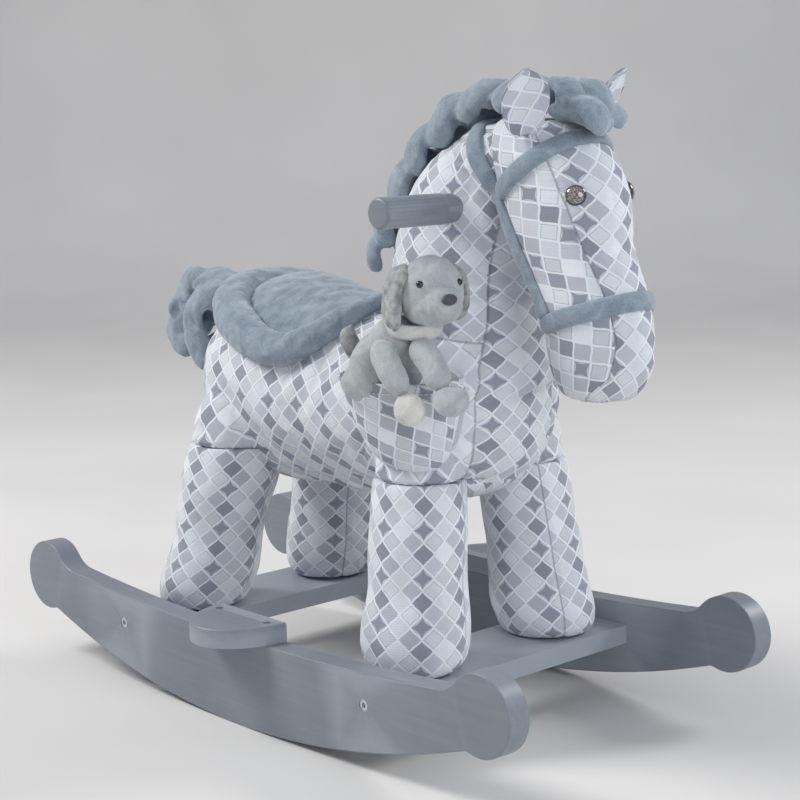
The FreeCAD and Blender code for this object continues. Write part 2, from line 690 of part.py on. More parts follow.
def toy_pieces():
    """The toy dog's stuffed pieces by name, each cut clear of the pieces listed before it."""
    facing = TOY_FACING.normalize()
    side = Z_AXIS.cross(facing)
    head = ellipsoid(TOY_HEAD_CENTRE, V(TOY_HEAD_R, TOY_HEAD_R, TOY_HEAD_R * TOY_HEAD_HEIGHT_RATIO))
    muzzle = ellipsoid(TOY_MUZZLE_CENTRE, V(TOY_MUZZLE_R, TOY_MUZZLE_R, TOY_MUZZLE_R))
    ear_half = V(TOY_EAR_WIDTH / 2, TOY_EAR_THICK / 2, TOY_EAR_LENGTH / 2)
    near_ear = ellipsoid(TOY_HEAD_CENTRE - side * 33 + facing * 11 - Z_AXIS * 10, ear_half, side, facing)
    far_ear = ellipsoid(TOY_HEAD_CENTRE + side * 29 - facing * 12 - Z_AXIS * 4, ear_half, side, facing)
    eyes = [ellipsoid(centre, V(TOY_EYE_R, TOY_EYE_R, TOY_EYE_R)) for centre in TOY_EYES]
    muzzle_way = (TOY_MUZZLE_CENTRE - TOY_HEAD_CENTRE).normalize()
    nose = ellipsoid(TOY_NOSE_CENTRE, TOY_NOSE_HALF, muzzle_way, Z_AXIS.cross(muzzle_way).normalize())
    collar_centre = (TOY_HEAD_CENTRE + TOY_BODY_CENTRE) * 0.5
    arms = [limb(start, end, TOY_ARM_R) for start, end in zip(TOY_SHOULDERS, TOY_WRISTS)]
    paws = [ellipsoid(centre, half, side, facing) for centre, half in zip(TOY_PAWS, TOY_PAW_HALF)]
    layers = (
        ("puppy_eyes", eyes),
        ("puppy_nose", [nose]),
        ("puppy_head", [head.fuse(muzzle)]),
        ("puppy_paws", paws),
        ("puppy_body", [ellipsoid(TOY_BODY_CENTRE, TOY_BODY_HALF)]),
        ("puppy_arms", arms),
        ("puppy_collar", [ellipsoid(collar_centre, TOY_COLLAR_HALF)]),
        ("puppy_ear_right", [near_ear]),
        ("puppy_ear_left", [far_ear]),
        ("puppy_tail", [ellipsoid(TOY_TAIL_CENTRE, TOY_TAIL_HALF)]),
    )
    pieces = {}
    taken = []
    for name, shapes in layers:
        pieces[name] = [largest_solid(cut_all(shape, taken)) for shape in shapes]
        taken = taken + pieces[name]
    return pieces


def toy_way_out():
    """The pocket's wall as the toy meets it on its way out, one copy per step of the way."""
    wall = pocket_form(-TOY_CLEARANCE).cut(pocket_form(POCKET_WALL + TOY_CLEARANCE))
    copies = []
    for step in range(TOY_LIFT_STEPS):
        copy = wall.copy()
        copy.translate(TOY_LIFT_DIRECTION.normalize() * (-TOY_LIFT_STEP * step))
        copies.append(copy)
    return copies


def build():
    os.makedirs("parts", exist_ok=True)

    # base
    bolts = rocker_bolts()
    nuts = barrel_nuts()
    dowels = board_dowels()
    foot_screws = footrest_screws()
    rest = footrest()
    rocker = rocker_blank().cut(rest)
    rocker = cut_all(rocker, bolts.holes + dowels + foot_screws.holes)
    rest = cut_all(rest, foot_screws.holes)
    write("rocker_left", rocker)
    write("rocker_right", mirrored(rocker))
    write("footrest_left", rest)
    write("footrest_right", mirrored(rest))
    write("rocker_bolts", Part.makeCompound(bolts.pieces))
    write("barrel_nuts", Part.makeCompound([cut_all(nut, bolts.holes) for nut in nuts]))
    write("board_dowels", Part.makeCompound(dowels))
    write("footrest_screws", Part.makeCompound(foot_screws.pieces))

    leg_screws = leg_bolts()
    for name, end in (("front_cross_board", 1), ("rear_cross_board", -1)):
        write(name, cut_all(cross_board(end), bolts.holes + nuts + dowels + leg_screws.holes))
    write("leg_bolts", Part.makeCompound(leg_screws.pieces))
    write("leg_bolt_washers", Part.makeCompound(leg_bolt_washers()))

    # inner frame
    spine_fixings = spine_screws()
    bracket_fixings = bracket_screws()
    handle_fixing = handle_screw()
    handle = handle_bar()
    brackets = neck_brackets()
    posts = {}
    for end, (foot, hip, _) in LEGS.items():
        posts[end + "_left"] = cut_all(leg_post(foot, hip), leg_screws.holes + spine_fixings.holes)
        posts[end + "_right"] = mirrored(posts[end + "_left"])
    for where, post in posts.items():
        write("leg_post_" + where, post)
    write("spine_board", cut_all(spine_board(), spine_fixings.holes + bracket_fixings.holes))
    write("spine_screws", Part.makeCompound(spine_fixings.pieces))
    write("neck_board", cut_all(neck_board(), [handle] + bracket_fixings.holes + handle_fixing.holes))
    write("neck_brackets", Part.makeCompound([cut_all(b, bracket_fixings.holes) for b in brackets]))
    write("bracket_screws", Part.makeCompound(bracket_fixings.pieces))
    write("handle_bar", handle.cut(handle_fixing.holes[0]))
    write("handle_screw", Part.makeCompound(handle_fixing.pieces))
    blank_posts = [leg_post(foot, hip) for foot, hip, _ in LEGS.values()]
    frame = both_sides(blank_posts) + [spine_board(), neck_board()] + brackets + bracket_fixings.holes
    frame = frame + [handle] + handle_fixing.holes

    # stuffed body
    torso = torso_form()
    head = upright_form(HEAD)
    neck = upright_form(NECK)
    write("torso", cut_all(torso, frame))
    write("neck", largest_solid(cut_all(neck.cut(torso).cut(head), frame)))
    leg_forms = {}
    for end, leg in LEGS.items():
        leg_forms[end + "_left"] = leg_form(*leg)
        leg_forms[end + "_right"] = mirrored(leg_forms[end + "_left"])
    for where, form in leg_forms.items():
        write("leg_" + where, largest_solid(cut_all(form.cut(torso), both_sides(blank_posts))))

    # eyes
    outward = V(0.62, 0.76, 0.18).normalize()
    left_eye = eye(outward)
    washers = both_sides([eye_washer(outward)])
    write("eye_left", left_eye)
    write("eye_right", mirrored(left_eye))
    write("eye_washers", Part.makeCompound(washers))
    head_piece = cut_all(head, frame + both_sides([left_eye]) + washers)
    write("head", largest_solid(head_piece))

    # bridle
    proud_head = upright_form(HEAD, STRAP_PROUD)
    proud_neck = upright_form(NECK, STRAP_PROUD)
    under = head.fuse(neck)
    start, end = extended(STRAP_ROOT, STRAP_CORNER, 30, 8)
    ring_zone = proud_head.fuse(proud_neck)
    cheek = slab(start, end, STRAP_WIDTH).common(ring_zone).cut(under)
    nose_start, nose_end = extended(STRAP_CORNER, NOSEBAND_FRONT, 40, 30)
    nose = slab(nose_start, nose_end, STRAP_WIDTH).common(proud_head).cut(under).cut(cheek)
    brow_start, brow_end = extended(BROWBAND_REAR, BROWBAND_TOP, 4, 30)
    brow = slab(brow_start, brow_end, STRAP_WIDTH).common(ring_zone).cut(under).cut(cheek)
    write("cheek_strap", cheek)
    write("noseband", nose)
    write("browband", brow)

    # ears
    ear = largest_solid(ear_form(0.0).cut(upright_form(HEAD, STRAP_PROUD + EAR_GAP)))
    write("ear_left", ear)
    write("ear_right", mirrored(ear))
    ear_zones = both_sides([ear_form(EAR_ROOM)])

    # saddle
    seat_zone = torso_form(SADDLE_SEAT_PROUD)
    roll_zone = torso_form(SADDLE_ROLL_PROUD)
    inner = saddle_prism(SADDLE_ROLL_WIDTH)
    seat = seat_zone.common(inner).cut(torso).cut(neck)
    roll = roll_zone.common(saddle_prism(0).cut(inner)).cut(torso).cut(neck)
    write("saddle_seat", largest_solid(seat))
    write("saddle_roll", roll)

    # mane, forelock and tail
    mane = largest_solid(mane_form().cut([proud_head, proud_neck] + ear_zones))
    write("mane", mane)
    forelock = ellipsoid(FORELOCK_CENTRE, FORELOCK_HALF).cut([proud_head, mane] + ear_zones)
    write("forelock", largest_solid(forelock))
    write("tail", largest_solid(tail_form().cut(torso_form(TAIL_GAP))))

    # pocket
    pocket = pocket_form(0).cut(pocket_form(POCKET_WALL)).cut([torso, neck, leg_forms["front_right"]])
    write("pocket", largest_solid(pocket))

    # toy
    barrier = toy_way_out()
    for name, solids in toy_pieces().items():
        clear = [largest_solid(cut_all(solid, barrier)) for solid in solids]
        write(name, Part.makeCompound(clear))


build()
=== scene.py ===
# %% [markdown]
# A stuffed rocking horse on a painted wooden rocker, with a toy puppy in its side pocket.
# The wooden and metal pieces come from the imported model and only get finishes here. Everything
# sewn is made again below: first its plain form, then a cloth simulation that fills it with
# stuffing, then its seams, and last the fabric.

# %% Load the frame
import bpy
import bmesh
import math
import random
import numpy as np
from mathutils import Matrix, Vector
from mathutils.bvhtree import BVHTree


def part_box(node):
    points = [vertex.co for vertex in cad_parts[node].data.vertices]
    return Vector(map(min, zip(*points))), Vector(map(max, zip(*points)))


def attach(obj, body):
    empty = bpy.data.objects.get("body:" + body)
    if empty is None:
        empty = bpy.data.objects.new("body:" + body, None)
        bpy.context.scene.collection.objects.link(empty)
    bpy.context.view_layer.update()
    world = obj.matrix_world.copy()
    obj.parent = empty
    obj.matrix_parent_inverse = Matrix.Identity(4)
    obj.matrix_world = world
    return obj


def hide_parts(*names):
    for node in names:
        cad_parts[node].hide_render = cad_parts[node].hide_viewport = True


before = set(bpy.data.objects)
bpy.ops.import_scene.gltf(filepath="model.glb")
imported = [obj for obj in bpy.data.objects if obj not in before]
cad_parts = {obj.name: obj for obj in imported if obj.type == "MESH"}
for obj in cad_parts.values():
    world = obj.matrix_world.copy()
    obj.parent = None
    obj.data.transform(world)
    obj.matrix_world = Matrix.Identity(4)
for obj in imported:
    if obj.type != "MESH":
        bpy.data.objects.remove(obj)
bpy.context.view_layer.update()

# %% [markdown]
# The lens looks a little down at the horse's right shoulder, as a buyer sees it on a shop floor.
# Placing the camera first lets every later step be judged from the view that matters most.

# %% Camera
MM = 0.001
CAMERA_PLACE = Vector((1352.96, -1189.28, 587.94)) * MM
CAMERA_RIGHT = Vector((0.67574415, 0.73692383, -0.01769498))
CAMERA_UP = Vector((-0.10921431, 0.12382969, 0.98627503))
LENS_MM = 83.74
camera_data = bpy.data.cameras.new("camera")
camera_data.lens = LENS_MM
camera = bpy.data.objects.new("camera", camera_data)
bpy.context.scene.collection.objects.link(camera)
camera_back = CAMERA_RIGHT.cross(CAMERA_UP)
turned = Matrix((CAMERA_RIGHT, CAMERA_UP, camera_back)).transposed().to_4x4()
camera.matrix_world = Matrix.Translation(CAMERA_PLACE) @ turned
bpy.context.scene.camera = camera
print("camera at", tuple(round(c, 3) for c in CAMERA_PLACE))

# %% [markdown]
# A studio sweep: a pale floor and a wall behind it joined by a large curve, so no corner line
# crosses the picture. One big soft light stands at the upper left, a weaker one fills the front.


# %% Mesh helper
def mesh_object(name, points, faces, uvs=None, smooth=True):
    """An object with its points given in millimetres and, if wanted, a cloth map per face corner."""
    mesh = bpy.data.meshes.new(name)
    mesh.from_pydata([tuple(p) for p in np.asarray(points, float) * MM], [], faces)
    if uvs is not None:
        layer = mesh.uv_layers.new(name="cloth")
        layer.data.foreach_set("uv", (np.asarray(uvs, float) * MM).ravel())
    mesh.validate()
    mesh.polygons.foreach_set("use_smooth", [smooth] * len(mesh.polygons))
    made = bpy.data.objects.new(name, mesh)
    bpy.context.scene.collection.objects.link(made)
    return made


# %% Studio sweep
FLOOR_HALF_MM = 3600.0
WALL_FAR_MM = 3000.0              # behind every camera that circles the horse
SWEEP_R_MM = 900.0
WALL_TOP_MM = 2800.0
floor_away = Vector((-camera_back.x, -camera_back.y, 0)).normalized()
floor_side = Vector((floor_away.y, -floor_away.x, 0))
profile = [(-3000.0, 0.0), (WALL_FAR_MM, 0.0)]
for step in range(1, 13):
    turn = math.pi / 2 * step / 12
    profile.append((WALL_FAR_MM + SWEEP_R_MM * math.sin(turn), SWEEP_R_MM * (1 - math.cos(turn))))
profile.append((WALL_FAR_MM + SWEEP_R_MM, WALL_TOP_MM))
sweep_points = []
for away, height in profile:
    for side in (-FLOOR_HALF_MM, FLOOR_HALF_MM):
        place = floor_away * away + floor_side * side
        sweep_points.append((place.x, place.y, height))
sweep_faces = [(2 * i, 2 * i + 1, 2 * i + 3, 2 * i + 2) for i in range(len(profile) - 1)]
studio_sweep = mesh_object("studio_sweep", sweep_points, sweep_faces)
print("studio sweep of", len(sweep_faces), "panels")


# %% Lights
def softbox(name, place, target, size, watts, colour):
    data = bpy.data.lights.new(name, "AREA")
    data.shape = "DISK"
    data.size = size
    data.energy = watts
    data.color = colour
    light = bpy.data.objects.new(name, data)
    light.location = place
    light.rotation_euler = (Vector(target) - Vector(place)).to_track_quat("-Z", "Y").to_euler()
    bpy.context.scene.collection.objects.link(light)
    return light


HORSE_MIDDLE = (0.03, 0.0, 0.3)
softbox("key_light", (-1.6, -1.5, 2.3), HORSE_MIDDLE, 1.2, 62.0, (1.0, 0.985, 0.96))
softbox("front_fill", (2.6, -0.6, 1.1), HORSE_MIDDLE, 1.6, 22.0, (0.90, 0.95, 1.0))
softbox("far_rim", (1.2, 2.2, 1.9), HORSE_MIDDLE, 1.0, 34.0, (1.0, 0.98, 0.96))
world = bpy.data.worlds.new("studio")
bpy.context.scene.world = world
world.use_nodes = True
WORLD_GLOW = 0.42
world.node_tree.nodes["Background"].inputs["Color"].default_value = (0.86, 0.91, 1.0, 1.0)
world.node_tree.nodes["Background"].inputs["Strength"].default_value = WORLD_GLOW
bpy.context.scene.view_settings.view_transform = "Standard"
print("lights", len(bpy.data.lights))


# %% [markdown]
# Finishes are small node trees. Every one starts from the same two helpers: one turns a paint-chart
# hex colour into the linear colour that a shader needs, the other adds a node and wires it up.

# %% Material helpers
def linear(hex_colour):
    """An sRGB hex value as a linear RGBA colour."""
    values = [int(hex_colour[i:i + 2], 16) / 255 for i in (1, 3, 5)]
    return tuple(v / 12.92 if v <= 0.04045 else ((v + 0.055) / 1.055) ** 2.4 for v in values) + (1.0,)


MATH = "ShaderNodeMath"


def add(tree, kind, settings=None, inputs=(), out=0, stops=(), blend="LINEAR"):
    """Adds one node with its settings, inputs and colour stops, and returns one of its outputs."""
    made = tree.nodes.new(kind)
    for key, value in (settings or {}).items():
        setattr(made, key, value)
    for key, value in inputs.items() if isinstance(inputs, dict) else enumerate(inputs):
        if isinstance(value, bpy.types.NodeSocket):
            tree.links.new(value, made.inputs[key])
        else:
            made.inputs[key].default_value = value
    if stops:
        band = made.color_ramp
        band.interpolation = blend
        while len(band.elements) < len(stops):
            band.elements.new(0.5)
        for element, (position, value) in zip(band.elements, stops):
            element.position = position
            element.color = linear(value)
    return made.outputs[out]


def finish_material(name, shader_inputs):
    """A new material whose main shader has these values; returns it with its tree and shader."""
    material = bpy.data.materials.new(name)
    material.use_nodes = True
    tree = material.node_tree
    shader = tree.nodes["Principled BSDF"]
    for key, value in shader_inputs.items():
        shader.inputs[key].default_value = value
    return material, tree, shader


def per_mm(size_mm):
    """Texture scale, in repeats per metre, of a feature of this size."""
    return 1.0 / (size_mm * MM)


# %% [markdown]
# Floor: matt seamless background paper. Uncoated fibres scatter light, so it is rough with a
# very faint cloudiness and no shine.

# %% Floor paper
def background_paper():
    material, tree, shader = finish_material("seamless_background_paper",
                                             {"Roughness": 0.95, "Specular IOR Level": 0.2})
    place = add(tree, "ShaderNodeTexCoord", out=3)
    cloud = add(tree, "ShaderNodeTexNoise", {}, {"Vector": place, "Scale": per_mm(400), "Detail": 2.0})
    tree.links.new(add(tree, "ShaderNodeValToRGB", {}, {"Fac": cloud},
                       stops=((0.3, "#DAD8D6"), (0.7, "#E0DEDC"))), shader.inputs["Base Color"])
    return material


studio_sweep.data.materials.append(background_paper())
print("floor finish", studio_sweep.data.materials[0].name)


# %% [markdown]
# Rocker paint: satin water-based paint, sprayed on birch plywood and solid wood. Under it the grain
# barely shows as long shallow lines, and the spray leaves a fine orange peel. The convex rounded
# edges are painted a little lighter, a painted highlight where they catch the light.

# %% Painted wood
def painted_wood(name, light, dark):
    material, tree, shader = finish_material(name,
                                             {"Roughness": 0.42, "Specular IOR Level": 0.5,
                                              "Coat Weight": 0.08, "Coat Roughness": 0.3})
    place = add(tree, "ShaderNodeTexCoord", out=3)
    grain_place = add(tree, "ShaderNodeMapping", {}, {"Vector": place, "Scale": (0.06, 1.0, 1.0)})
    grain = add(tree, "ShaderNodeTexNoise", {}, {"Vector": grain_place, "Scale": per_mm(5), "Detail": 6.0,
                                                 "Roughness": 0.6})
    cloud = add(tree, "ShaderNodeTexNoise", {}, {"Vector": place, "Scale": per_mm(90), "Detail": 3.0})
    peel = add(tree, "ShaderNodeTexNoise", {}, {"Vector": place, "Scale": per_mm(1.6), "Detail": 2.0})
    tone = add(tree, MATH, {"operation": "MULTIPLY_ADD"}, [grain, 0.45,
                                                           add(tree, MATH, {"operation": "MULTIPLY"},
                                                               [cloud, 0.55])])
    paint = add(tree, "ShaderNodeValToRGB", {}, {"Fac": tone}, stops=((0.36, dark), (0.64, light)))
    # painted highlight: convex rounded edges (pointiness) are mixed towards a light blue grey
    edge = add(tree, "ShaderNodeNewGeometry", out=7)
    edge_highlight_mask = add(tree, "ShaderNodeMapRange", {}, {"Value": edge, "From Min": 0.515, "From Max": 0.56})
    edge_highlit_paint = add(tree, "ShaderNodeMix", {"data_type": "RGBA"},
                 {0: add(tree, MATH, {"operation": "MULTIPLY"}, [edge_highlight_mask, 0.45]), 6: paint,
                  7: linear("#AEB6BF")}, out=2)
    tree.links.new(edge_highlit_paint, shader.inputs["Base Color"])
    gloss = add(tree, "ShaderNodeMapRange", {}, {"Value": cloud, "To Min": 0.36, "To Max": 0.5})
    tree.links.new(gloss, shader.inputs["Roughness"])
    height = add(tree, MATH, {"operation": "MULTIPLY_ADD"}, [grain, 0.7,
                                                             add(tree, MATH, {"operation": "MULTIPLY"},
                                                                 [peel, 0.3])])
    relief = add(tree, "ShaderNodeBump", {}, {"Height": height, "Distance": 0.25 * MM, "Strength": 0.6})
    tree.links.new(relief, shader.inputs["Normal"])
    return material


grey_paint = painted_wood("satin_grey_painted_wood", "#858C94", "#797F88")
print("finish", grey_paint.name)


# %% [markdown]
# Hidden wood: the leg posts and boards inside the stuffing are planed pine, left bare. Zinc-plated
# screws and bolts are bright with a bluish cast and fine drawing lines. The washers that lock the
# eyes are plain moulded plastic.

# %% Hidden wood, zinc and washer plastic
def bare_pine():
    material, tree, shader = finish_material("planed_bare_pine", {"Roughness": 0.62})
    place = add(tree, "ShaderNodeTexCoord", out=3)
    along = add(tree, "ShaderNodeMapping", {}, {"Vector": place, "Scale": (0.15, 1.0, 0.15)})
    rings = add(tree, "ShaderNodeTexWave", {"bands_direction": "Y"}, {"Vector": along, "Scale": per_mm(22),
                                                                     "Distortion": 3.0, "Detail": 3.0})
    tree.links.new(add(tree, "ShaderNodeValToRGB", {}, {"Fac": rings},
                       stops=((0.2, "#E2C79B"), (0.8, "#C79F66"))), shader.inputs["Base Color"])
    relief = add(tree, "ShaderNodeBump", {}, {"Height": rings, "Distance": 0.2 * MM, "Strength": 0.4})
    tree.links.new(relief, shader.inputs["Normal"])
    return material


def zinc_plate():
    material, tree, shader = finish_material("zinc_plated_steel", {"Metallic": 1.0, "Roughness": 0.3})
    place = add(tree, "ShaderNodeTexCoord", out=3)
    spangle = add(tree, "ShaderNodeTexNoise", {}, {"Vector": place, "Scale": per_mm(1.5), "Detail": 4.0})
    tree.links.new(add(tree, "ShaderNodeValToRGB", {}, {"Fac": spangle},
                       stops=((0.3, "#B9C0C6"), (0.7, "#DDE2E6"))), shader.inputs["Base Color"])
    tree.links.new(add(tree, "ShaderNodeMapRange", {}, {"Value": spangle, "To Min": 0.2, "To Max": 0.42}),
                   shader.inputs["Roughness"])
    relief = add(tree, "ShaderNodeBump", {}, {"Height": spangle, "Distance": 0.05 * MM, "Strength": 0.5})
    tree.links.new(relief, shader.inputs["Normal"])
    return material


def moulded_nylon():
    material, tree, shader = finish_material("moulded_white_nylon", {"Roughness": 0.45})
    place = add(tree, "ShaderNodeTexCoord", out=3)
    grit = add(tree, "ShaderNodeTexNoise", {}, {"Vector": place, "Scale": per_mm(0.8), "Detail": 3.0})
    tree.links.new(add(tree, "ShaderNodeValToRGB", {}, {"Fac": grit},
                       stops=((0.3, "#DFE0DC"), (0.7, "#ECECE8"))), shader.inputs["Base Color"])
    relief = add(tree, "ShaderNodeBump", {}, {"Height": grit, "Distance": 0.08 * MM, "Strength": 0.5})
    tree.links.new(relief, shader.inputs["Normal"])
    return material


pine = bare_pine()
zinc = zinc_plate()
nylon = moulded_nylon()
print("finishes", pine.name, zinc.name, nylon.name)


# %% Finish the wooden and metal pieces
def dress(node, material):
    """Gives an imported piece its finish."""
    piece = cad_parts[node]
    for slot in piece.material_slots:
        slot.material = material
    if not piece.material_slots:
        piece.data.materials.append(material)
    return piece


painted = ["rocker_left", "rocker_right", "front_cross_board", "rear_cross_board", "footrest_left",
           "footrest_right", "handle_bar"]
timber = ["board_dowels", "spine_board",
          "neck_board"] + [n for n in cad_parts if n.startswith("leg_post")]
steel = ["rocker_bolts", "barrel_nuts", "footrest_screws", "leg_bolts", "leg_bolt_washers", "spine_screws",
         "neck_brackets", "bracket_screws", "handle_screw"]
for nodes, material in ((painted, grey_paint), (timber, pine), (steel, zinc), (["eye_washers"], nylon)):
    for node in nodes:
        dress(node, material)
print("finished", len(painted) + len(timber) + len(steel) + 1, "packed pieces")

# %% [markdown]
# Printed cotton: a woven jersey, printed with a quilt of small tiles. The print is a square grid
# with white gaps, turned into diamonds on the body. Its edges wander like torn paper, and the tiles
# take turns: dark, lilac grey, pale, outlined, and a small dark star. Working the pattern out from
# the cell number keeps it sharp at any distance. The cloth map is in metres of real fabric.

# %% Printed cotton
TILE_MM = 14.6
TILE_GAP = 0.05               # half of the white gap, in tiles
EDGE_WANDER = 0.018           # how far a tile's edge wanders, in tiles
STAR_HOLLOW = 0.6             # how far a star's sides curve in
CELL_COLOURS = ("#D6DAE0", "#D8DDE1", "#C2C5CE", "#989DA8", "#E2E5EA", "#D8DDE1", "#C8C8D1", "#D5DADF")
GROUND = "#E9ECF2"


def seam_shade_mask(tree, name):
    """1 on a sewn seam and 0 off it, from the signed distance that the piece carries; it places the painted
    seam shade.
    """
    distance = add(tree, "ShaderNodeAttribute", {"attribute_name": name}, out=2)
    return add(tree, "ShaderNodeMapRange", {}, {"Value": add(tree, MATH, {"operation": "ABSOLUTE"},
                                                             [distance]), "From Min": 0.45, "From Max": 1.3,
                                                "To Min": 1.0, "To Max": 0.0})


def printed_cotton(name, turn_degrees, seams=()):
    material, tree, shader = finish_material(name, {"Roughness": 0.86, "Specular IOR Level": 0.25,
                                                    "Sheen Weight": 0.12, "Sheen Roughness": 0.5})
    cloth = add(tree, "ShaderNodeUVMap", {"uv_map": "cloth"})
    grid = add(tree, "ShaderNodeMapping", {}, {"Vector": cloth,
                                               "Rotation": (0, 0, math.radians(turn_degrees)),
                                               "Scale": (per_mm(TILE_MM), per_mm(TILE_MM), 1)})
    along = add(tree, "ShaderNodeSeparateXYZ", {}, {"Vector": grid})
    x, y = along, along.node.outputs[1]
    wave_x = add(tree, MATH, {"operation": "SINE"}, [add(tree, MATH, {"operation": "MULTIPLY"},
                                                         [y, 2 * math.pi])])
    wave_y = add(tree, MATH, {"operation": "SINE"}, [add(tree, MATH, {"operation": "MULTIPLY"},
                                                         [x, 2 * math.pi])])
    x = add(tree, MATH, {"operation": "MULTIPLY_ADD"}, [wave_x, EDGE_WANDER, x])
    y = add(tree, MATH, {"operation": "MULTIPLY_ADD"}, [wave_y, EDGE_WANDER, y])
    column = add(tree, MATH, {"operation": "FLOOR"}, [x])
    row = add(tree, MATH, {"operation": "FLOOR"}, [y])
    dx = add(tree, MATH, {"operation": "ABSOLUTE"}, [add(tree, MATH, {"operation": "SUBTRACT"},
                                                         [add(tree, MATH, {"operation": "FRACT"}, [x]),
                                                          0.5])])
    dy = add(tree, MATH, {"operation": "ABSOLUTE"}, [add(tree, MATH, {"operation": "SUBTRACT"},
                                                         [add(tree, MATH, {"operation": "FRACT"}, [y]),
                                                          0.5])])
    edge = add(tree, MATH, {"operation": "SUBTRACT"}, [0.5, add(tree, MATH, {"operation": "MAXIMUM"},
                                                                [dx, dy])])
    odd_column = add(tree, MATH, {"operation": "FLOORED_MODULO"}, [column, 2.0])
    odd_row = add(tree, MATH, {"operation": "FLOORED_MODULO"}, [row, 2.0])
    quarter = add(tree, MATH, {"operation": "FLOORED_MODULO"},
                  [add(tree, MATH, {"operation": "ADD"}, [column, row]), 4.0])
    every_other = add(tree, MATH, {"operation": "COMPARE"}, [quarter, 2.0, 0.5])
    kind = add(tree, MATH, {"operation": "MULTIPLY_ADD"}, [odd_row, 2.0, odd_column])
    kind = add(tree, MATH, {"operation": "MULTIPLY_ADD"}, [every_other, 4.0, kind])
    share = add(tree, MATH, {"operation": "MULTIPLY_ADD"}, [kind, 0.125, 0.0625])
    stops = [(index / 8, colour) for index, colour in enumerate(CELL_COLOURS)]
    tile_colour = add(tree, "ShaderNodeValToRGB", {}, {"Fac": share}, stops=stops, blend="CONSTANT")
    cell = add(tree, "ShaderNodeCombineXYZ", {}, {"X": column, "Y": row})
    chance = add(tree, "ShaderNodeTexWhiteNoise", {}, {"Vector": cell})
    tone = add(tree, "ShaderNodeMapRange", {}, {"Value": chance, "To Min": 0.86, "To Max": 1.1})
    tile_colour = add(tree, "ShaderNodeMix", {"data_type": "RGBA", "blend_type": "MULTIPLY"},
                      {0: 1.0, 6: tile_colour, 7: tone}, out=2)
    fray = add(tree, "ShaderNodeTexNoise", {}, {"Vector": cloth, "Scale": per_mm(3), "Detail": 3.0})
    ragged = add(tree, MATH, {"operation": "MULTIPLY_ADD"},
                 [add(tree, MATH, {"operation": "SUBTRACT"}, [fray, 0.5]), 0.05, edge])
    inside = add(tree, "ShaderNodeMapRange", {}, {"Value": ragged, "From Min": TILE_GAP - 0.012,
                                                  "From Max": TILE_GAP + 0.018})
    colour = add(tree, "ShaderNodeMix", {"data_type": "RGBA"},
                 {0: inside, 6: linear(GROUND), 7: tile_colour}, out=2)
    is_star = add(tree, MATH, {"operation": "COMPARE"}, [kind, 0.0, 0.5])
    is_outlined = add(tree, MATH, {"operation": "MAXIMUM"}, [is_star,
                                                             add(tree, MATH, {"operation": "COMPARE"},
                                                                 [kind, 1.0, 0.5])])
    line = add(tree, MATH, {"operation": "COMPARE"}, [ragged, TILE_GAP + 0.055, 0.016])
    second = add(tree, MATH, {"operation": "MULTIPLY"}, [add(tree, MATH, {"operation": "COMPARE"},
                                                             [ragged, TILE_GAP + 0.13, 0.014]), is_star])
    line = add(tree, MATH, {"operation": "MULTIPLY"}, [add(tree, MATH, {"operation": "MAXIMUM"},
                                                           [add(tree, MATH, {"operation": "MULTIPLY"},
                                                                [line, is_outlined]), second]), 0.8])
    colour = add(tree, "ShaderNodeMix", {"data_type": "RGBA"}, {0: line, 6: colour, 7: linear("#A3A9B3")},
                 out=2)
    least = add(tree, MATH, {"operation": "MINIMUM"}, [dx, dy])
    hollow = add(tree, MATH, {"operation": "MULTIPLY"}, [add(tree, MATH, {"operation": "MULTIPLY"},
                                                             [least, least]), STAR_HOLLOW])
    reach = add(tree, MATH, {"operation": "SUBTRACT"}, [add(tree, MATH, {"operation": "MAXIMUM"}, [dx, dy]),
                                                        hollow])
    star = add(tree, "ShaderNodeMapRange", {}, {"Value": reach, "From Min": 0.32, "From Max": 0.34,
                                                "To Min": 1.0, "To Max": 0.0})
    star = add(tree, MATH, {"operation": "MULTIPLY"}, [star, is_star])
    colour = add(tree, "ShaderNodeMix", {"data_type": "RGBA"}, {0: star, 6: colour, 7: linear("#959AA6")},
                 out=2)
    cloud = add(tree, "ShaderNodeTexNoise", {}, {"Vector": cloth, "Scale": per_mm(45), "Detail": 4.0})
    mottle = add(tree, "ShaderNodeMapRange", {}, {"Value": cloud, "To Min": 0.92, "To Max": 1.05})
    colour = add(tree, "ShaderNodeMix", {"data_type": "RGBA", "blend_type": "MULTIPLY"},
                 {0: 1.0, 6: colour, 7: mottle}, out=2)
    # painted shade: a thin dark grey line is painted along each seam, where its pulled-in groove lies in
    # shade
    for seam in seams:
        sewn = add(tree, MATH, {"operation": "MULTIPLY"}, [seam_shade_mask(tree, seam), 0.45])
        colour = add(tree, "ShaderNodeMix", {"data_type": "RGBA"},
                     {0: sewn, 6: colour, 7: linear("#4E5560")}, out=2)
    tree.links.new(colour, shader.inputs["Base Color"])
    # threads 0.5 mm apart cannot be seen from here, so they are drawn 1.1 mm apart
    warp = add(tree, "ShaderNodeTexWave", {"bands_direction": "X"},
               {"Vector": cloth, "Scale": per_mm(1.1) / 6.28})
    weft = add(tree, "ShaderNodeTexWave", {"bands_direction": "Y"},
               {"Vector": cloth, "Scale": per_mm(1.1) / 6.28})
    crumple = add(tree, "ShaderNodeTexNoise", {}, {"Vector": cloth, "Scale": per_mm(26), "Detail": 4.0,
                                                   "Distortion": 0.6})
    weave = add(tree, MATH, {"operation": "MULTIPLY"}, [add(tree, MATH, {"operation": "ADD"}, [warp, weft]),
                                                        0.06])
    height = add(tree, MATH, {"operation": "ADD"}, [weave, crumple])
    relief = add(tree, "ShaderNodeBump", {}, {"Height": height, "Distance": 2.4 * MM, "Strength": 0.55})
    tree.links.new(relief, shader.inputs["Normal"])
    return material


